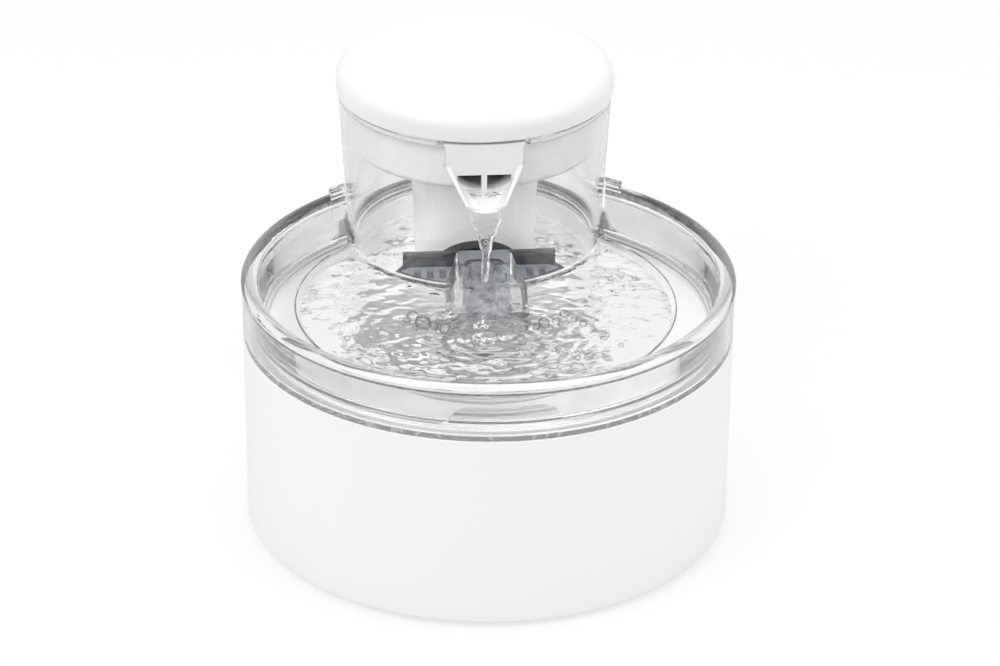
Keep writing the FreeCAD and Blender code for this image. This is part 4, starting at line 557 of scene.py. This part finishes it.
# Bubbles: x, y and radius
BUBBLES = [
    (-30.5, -15.0, 2.6), (-26.8, -21.5, 3.3), (-22.4, -23.8, 1.9), (-33.2, -19.0, 1.7), (-19.6, -18.4, 1.5),
    (-24.6, -16.8, 1.3), (-30.0, -26.0, 1.2), (-17.8, -25.6, 2.2), (-13.6, -28.2, 1.6), (-35.8, -24.2, 1.1),
    (-28.4, -18.2, 1.0), (-21.0, -28.6, 1.1), (22.6, -24.4, 2.4), (27.8, -22.8, 1.8), (31.6, -17.2, 2.1),
    (35.4, -21.4, 1.5), (19.2, -27.8, 1.4), (29.4, -27.0, 1.3), (38.6, -26.6, 1.6), (25.0, -29.6, 1.0),
    (16.2, -23.8, 1.2), (33.6, -25.6, 1.0), (-6.4, -44.6, 1.2), (9.8, -47.2, 1.4), (-44.2, -41.8, 1.1),
    (-58.0, -34.0, 1.2), (-60.6, -29.4, 0.9), (52.0, -46.4, 1.1), (-3.2, -55.6, 1.2), (3.4, -36.4, 1.3),
]
BUBBLE_LIFT = 0.1
BUBBLE_FLATNESS = 0.8


def bubbles():
    """Low domes on the bowl's water."""
    columns, rows = 18, 7
    points, faces = [], []
    for x, y, radius in BUBBLES:
        first = len(points)
        level = pool_height(x, y) + BUBBLE_LIFT
        for r in range(rows):
            tilt = math.pi / 2 * r / rows
            z = level + radius * BUBBLE_FLATNESS * math.sin(tilt)
            for c in range(columns):
                turn = 2 * math.pi * c / columns
                flat = radius * math.cos(tilt)
                points.append((x + flat * math.cos(turn), y + flat * math.sin(turn), z))
        points.append((x, y, level + radius * BUBBLE_FLATNESS))
        faces += [tuple(first + i for i in face) for face in grid_faces(rows, columns, True)]
        top = len(points) - 1
        last = first + (rows - 1) * columns
        faces += [(last + c, last + (c + 1) % columns, top) for c in range(columns)]
    make_mesh("bubbles", points, faces, bubble_film, "tray")


pool_water()
tower_water()
stream_water()
weir_water()
basin_water()
ramp_water()
bubbles()


# Floor, light and camera
def seen_plainly(tree, path):
    """One where the camera looks, straight or through something clear, and zero for every other ray."""
    return calculate(tree, "MAXIMUM", path.outputs["Is Camera Ray"], path.outputs["Is Transmission Ray"])


def paper(name, shade, mirror_share, mirror_white):
    """White studio paper: it keeps shadows, is near white to the camera and even in reflections."""
    material, tree = new_material(name)
    path = add(tree, "ShaderNodeLightPath")
    glow = calculate(tree, "MULTIPLY", seen_plainly(tree, path), shade)
    matt = add(tree, "ShaderNodeBsdfDiffuse", inputs={"Color": linear("F8F8F8")}).outputs["BSDF"]
    open_floor = mix_shaders(tree, glow, matt, emission(tree, 1.0))
    mirrored = calculate(tree, "MULTIPLY", path.outputs["Is Glossy Ray"], mirror_share)
    close(tree, mix_shaders(tree, mirrored, open_floor, emission(tree, mirror_white)))
    return material


def make_floor():
    half = 6.0
    corners = [(-half, -half, 0), (half, -half, 0), (half, half, 0), (-half, half, 0)]
    mesh = bpy.data.meshes.new("studio_floor")
    mesh.from_pydata(corners, [], [(0, 1, 2, 3)])
    mesh.materials.append(paper("Studio_Paper", 0.7, 0.85, 0.85))
    obj = bpy.data.objects.new("studio_floor", mesh)
    bpy.context.scene.collection.objects.link(obj)


def make_world(ambient, mirrored):
    """A white surround: full white to the camera, softer as light and in reflections."""
    world = bpy.data.worlds.new("Studio")
    bpy.context.scene.world = world
    world.use_nodes = True
    tree = world.node_tree
    tree.nodes.clear()
    path = add(tree, "ShaderNodeLightPath")
    soft = remap(tree, path.outputs["Is Glossy Ray"], ambient, mirrored)
    strength = remap(tree, seen_plainly(tree, path), soft, 1.0)
    glow = add(tree, "ShaderNodeBackground", inputs={"Color": WHITE, "Strength": strength})
    add(tree, "ShaderNodeOutputWorld", inputs={"Surface": glow.outputs["Background"]})


def softbox(name, place, aim_height, width, height, power):
    """A soft lamp that looks at a point on the part's upright axis."""
    data = bpy.data.lights.new(name, "AREA")
    data.shape = "RECTANGLE"
    data.size, data.size_y, data.energy = width, height, power
    obj = bpy.data.objects.new(name, data)
    bpy.context.scene.collection.objects.link(obj)
    obj.location = place
    aim = Vector((0, 0, aim_height))
    obj.rotation_euler = (aim - Vector(place)).to_track_quat("-Z", "Y").to_euler()


def make_camera():
    azimuth, elevation, roll = (math.radians(v) for v in (-4.3, 27.9, 0.424))
    distance, target = 1.4737, Vector((0.0, BOWL_Y * MM, 63.2 * MM))
    back = Vector((
        math.sin(azimuth) * math.cos(elevation),
        -math.cos(azimuth) * math.cos(elevation),
        math.sin(elevation),
    ))
    data = bpy.data.cameras.new("photo_camera")
    data.lens, data.sensor_width = 128.9, 36.0
    data.shift_x, data.shift_y = 0.01214, 0.0353
    data.clip_start, data.clip_end = 0.05, 50.0
    obj = bpy.data.objects.new("photo_camera", data)
    bpy.context.scene.collection.objects.link(obj)
    turn = (-back).to_track_quat("-Z", "Y").to_matrix() @ Matrix.Rotation(roll, 3, "Z")
    obj.matrix_world = Matrix.Translation(target + back * distance) @ turn.to_4x4()
    bpy.context.scene.camera = obj


make_floor()
make_world(0.7, 0.9)
softbox("key_left", (-0.9, -0.7, 1.1), 0.08, 0.9, 0.9, 6.0)
softbox("fill_right", (1.1, -0.5, 0.8), 0.08, 0.8, 1.0, 3.5)
softbox("top", (0.0, 0.2, 1.4), 0.1, 1.2, 1.0, 5.0)
make_camera()

view_settings = bpy.context.scene.view_settings
view_settings.view_transform = "Standard"
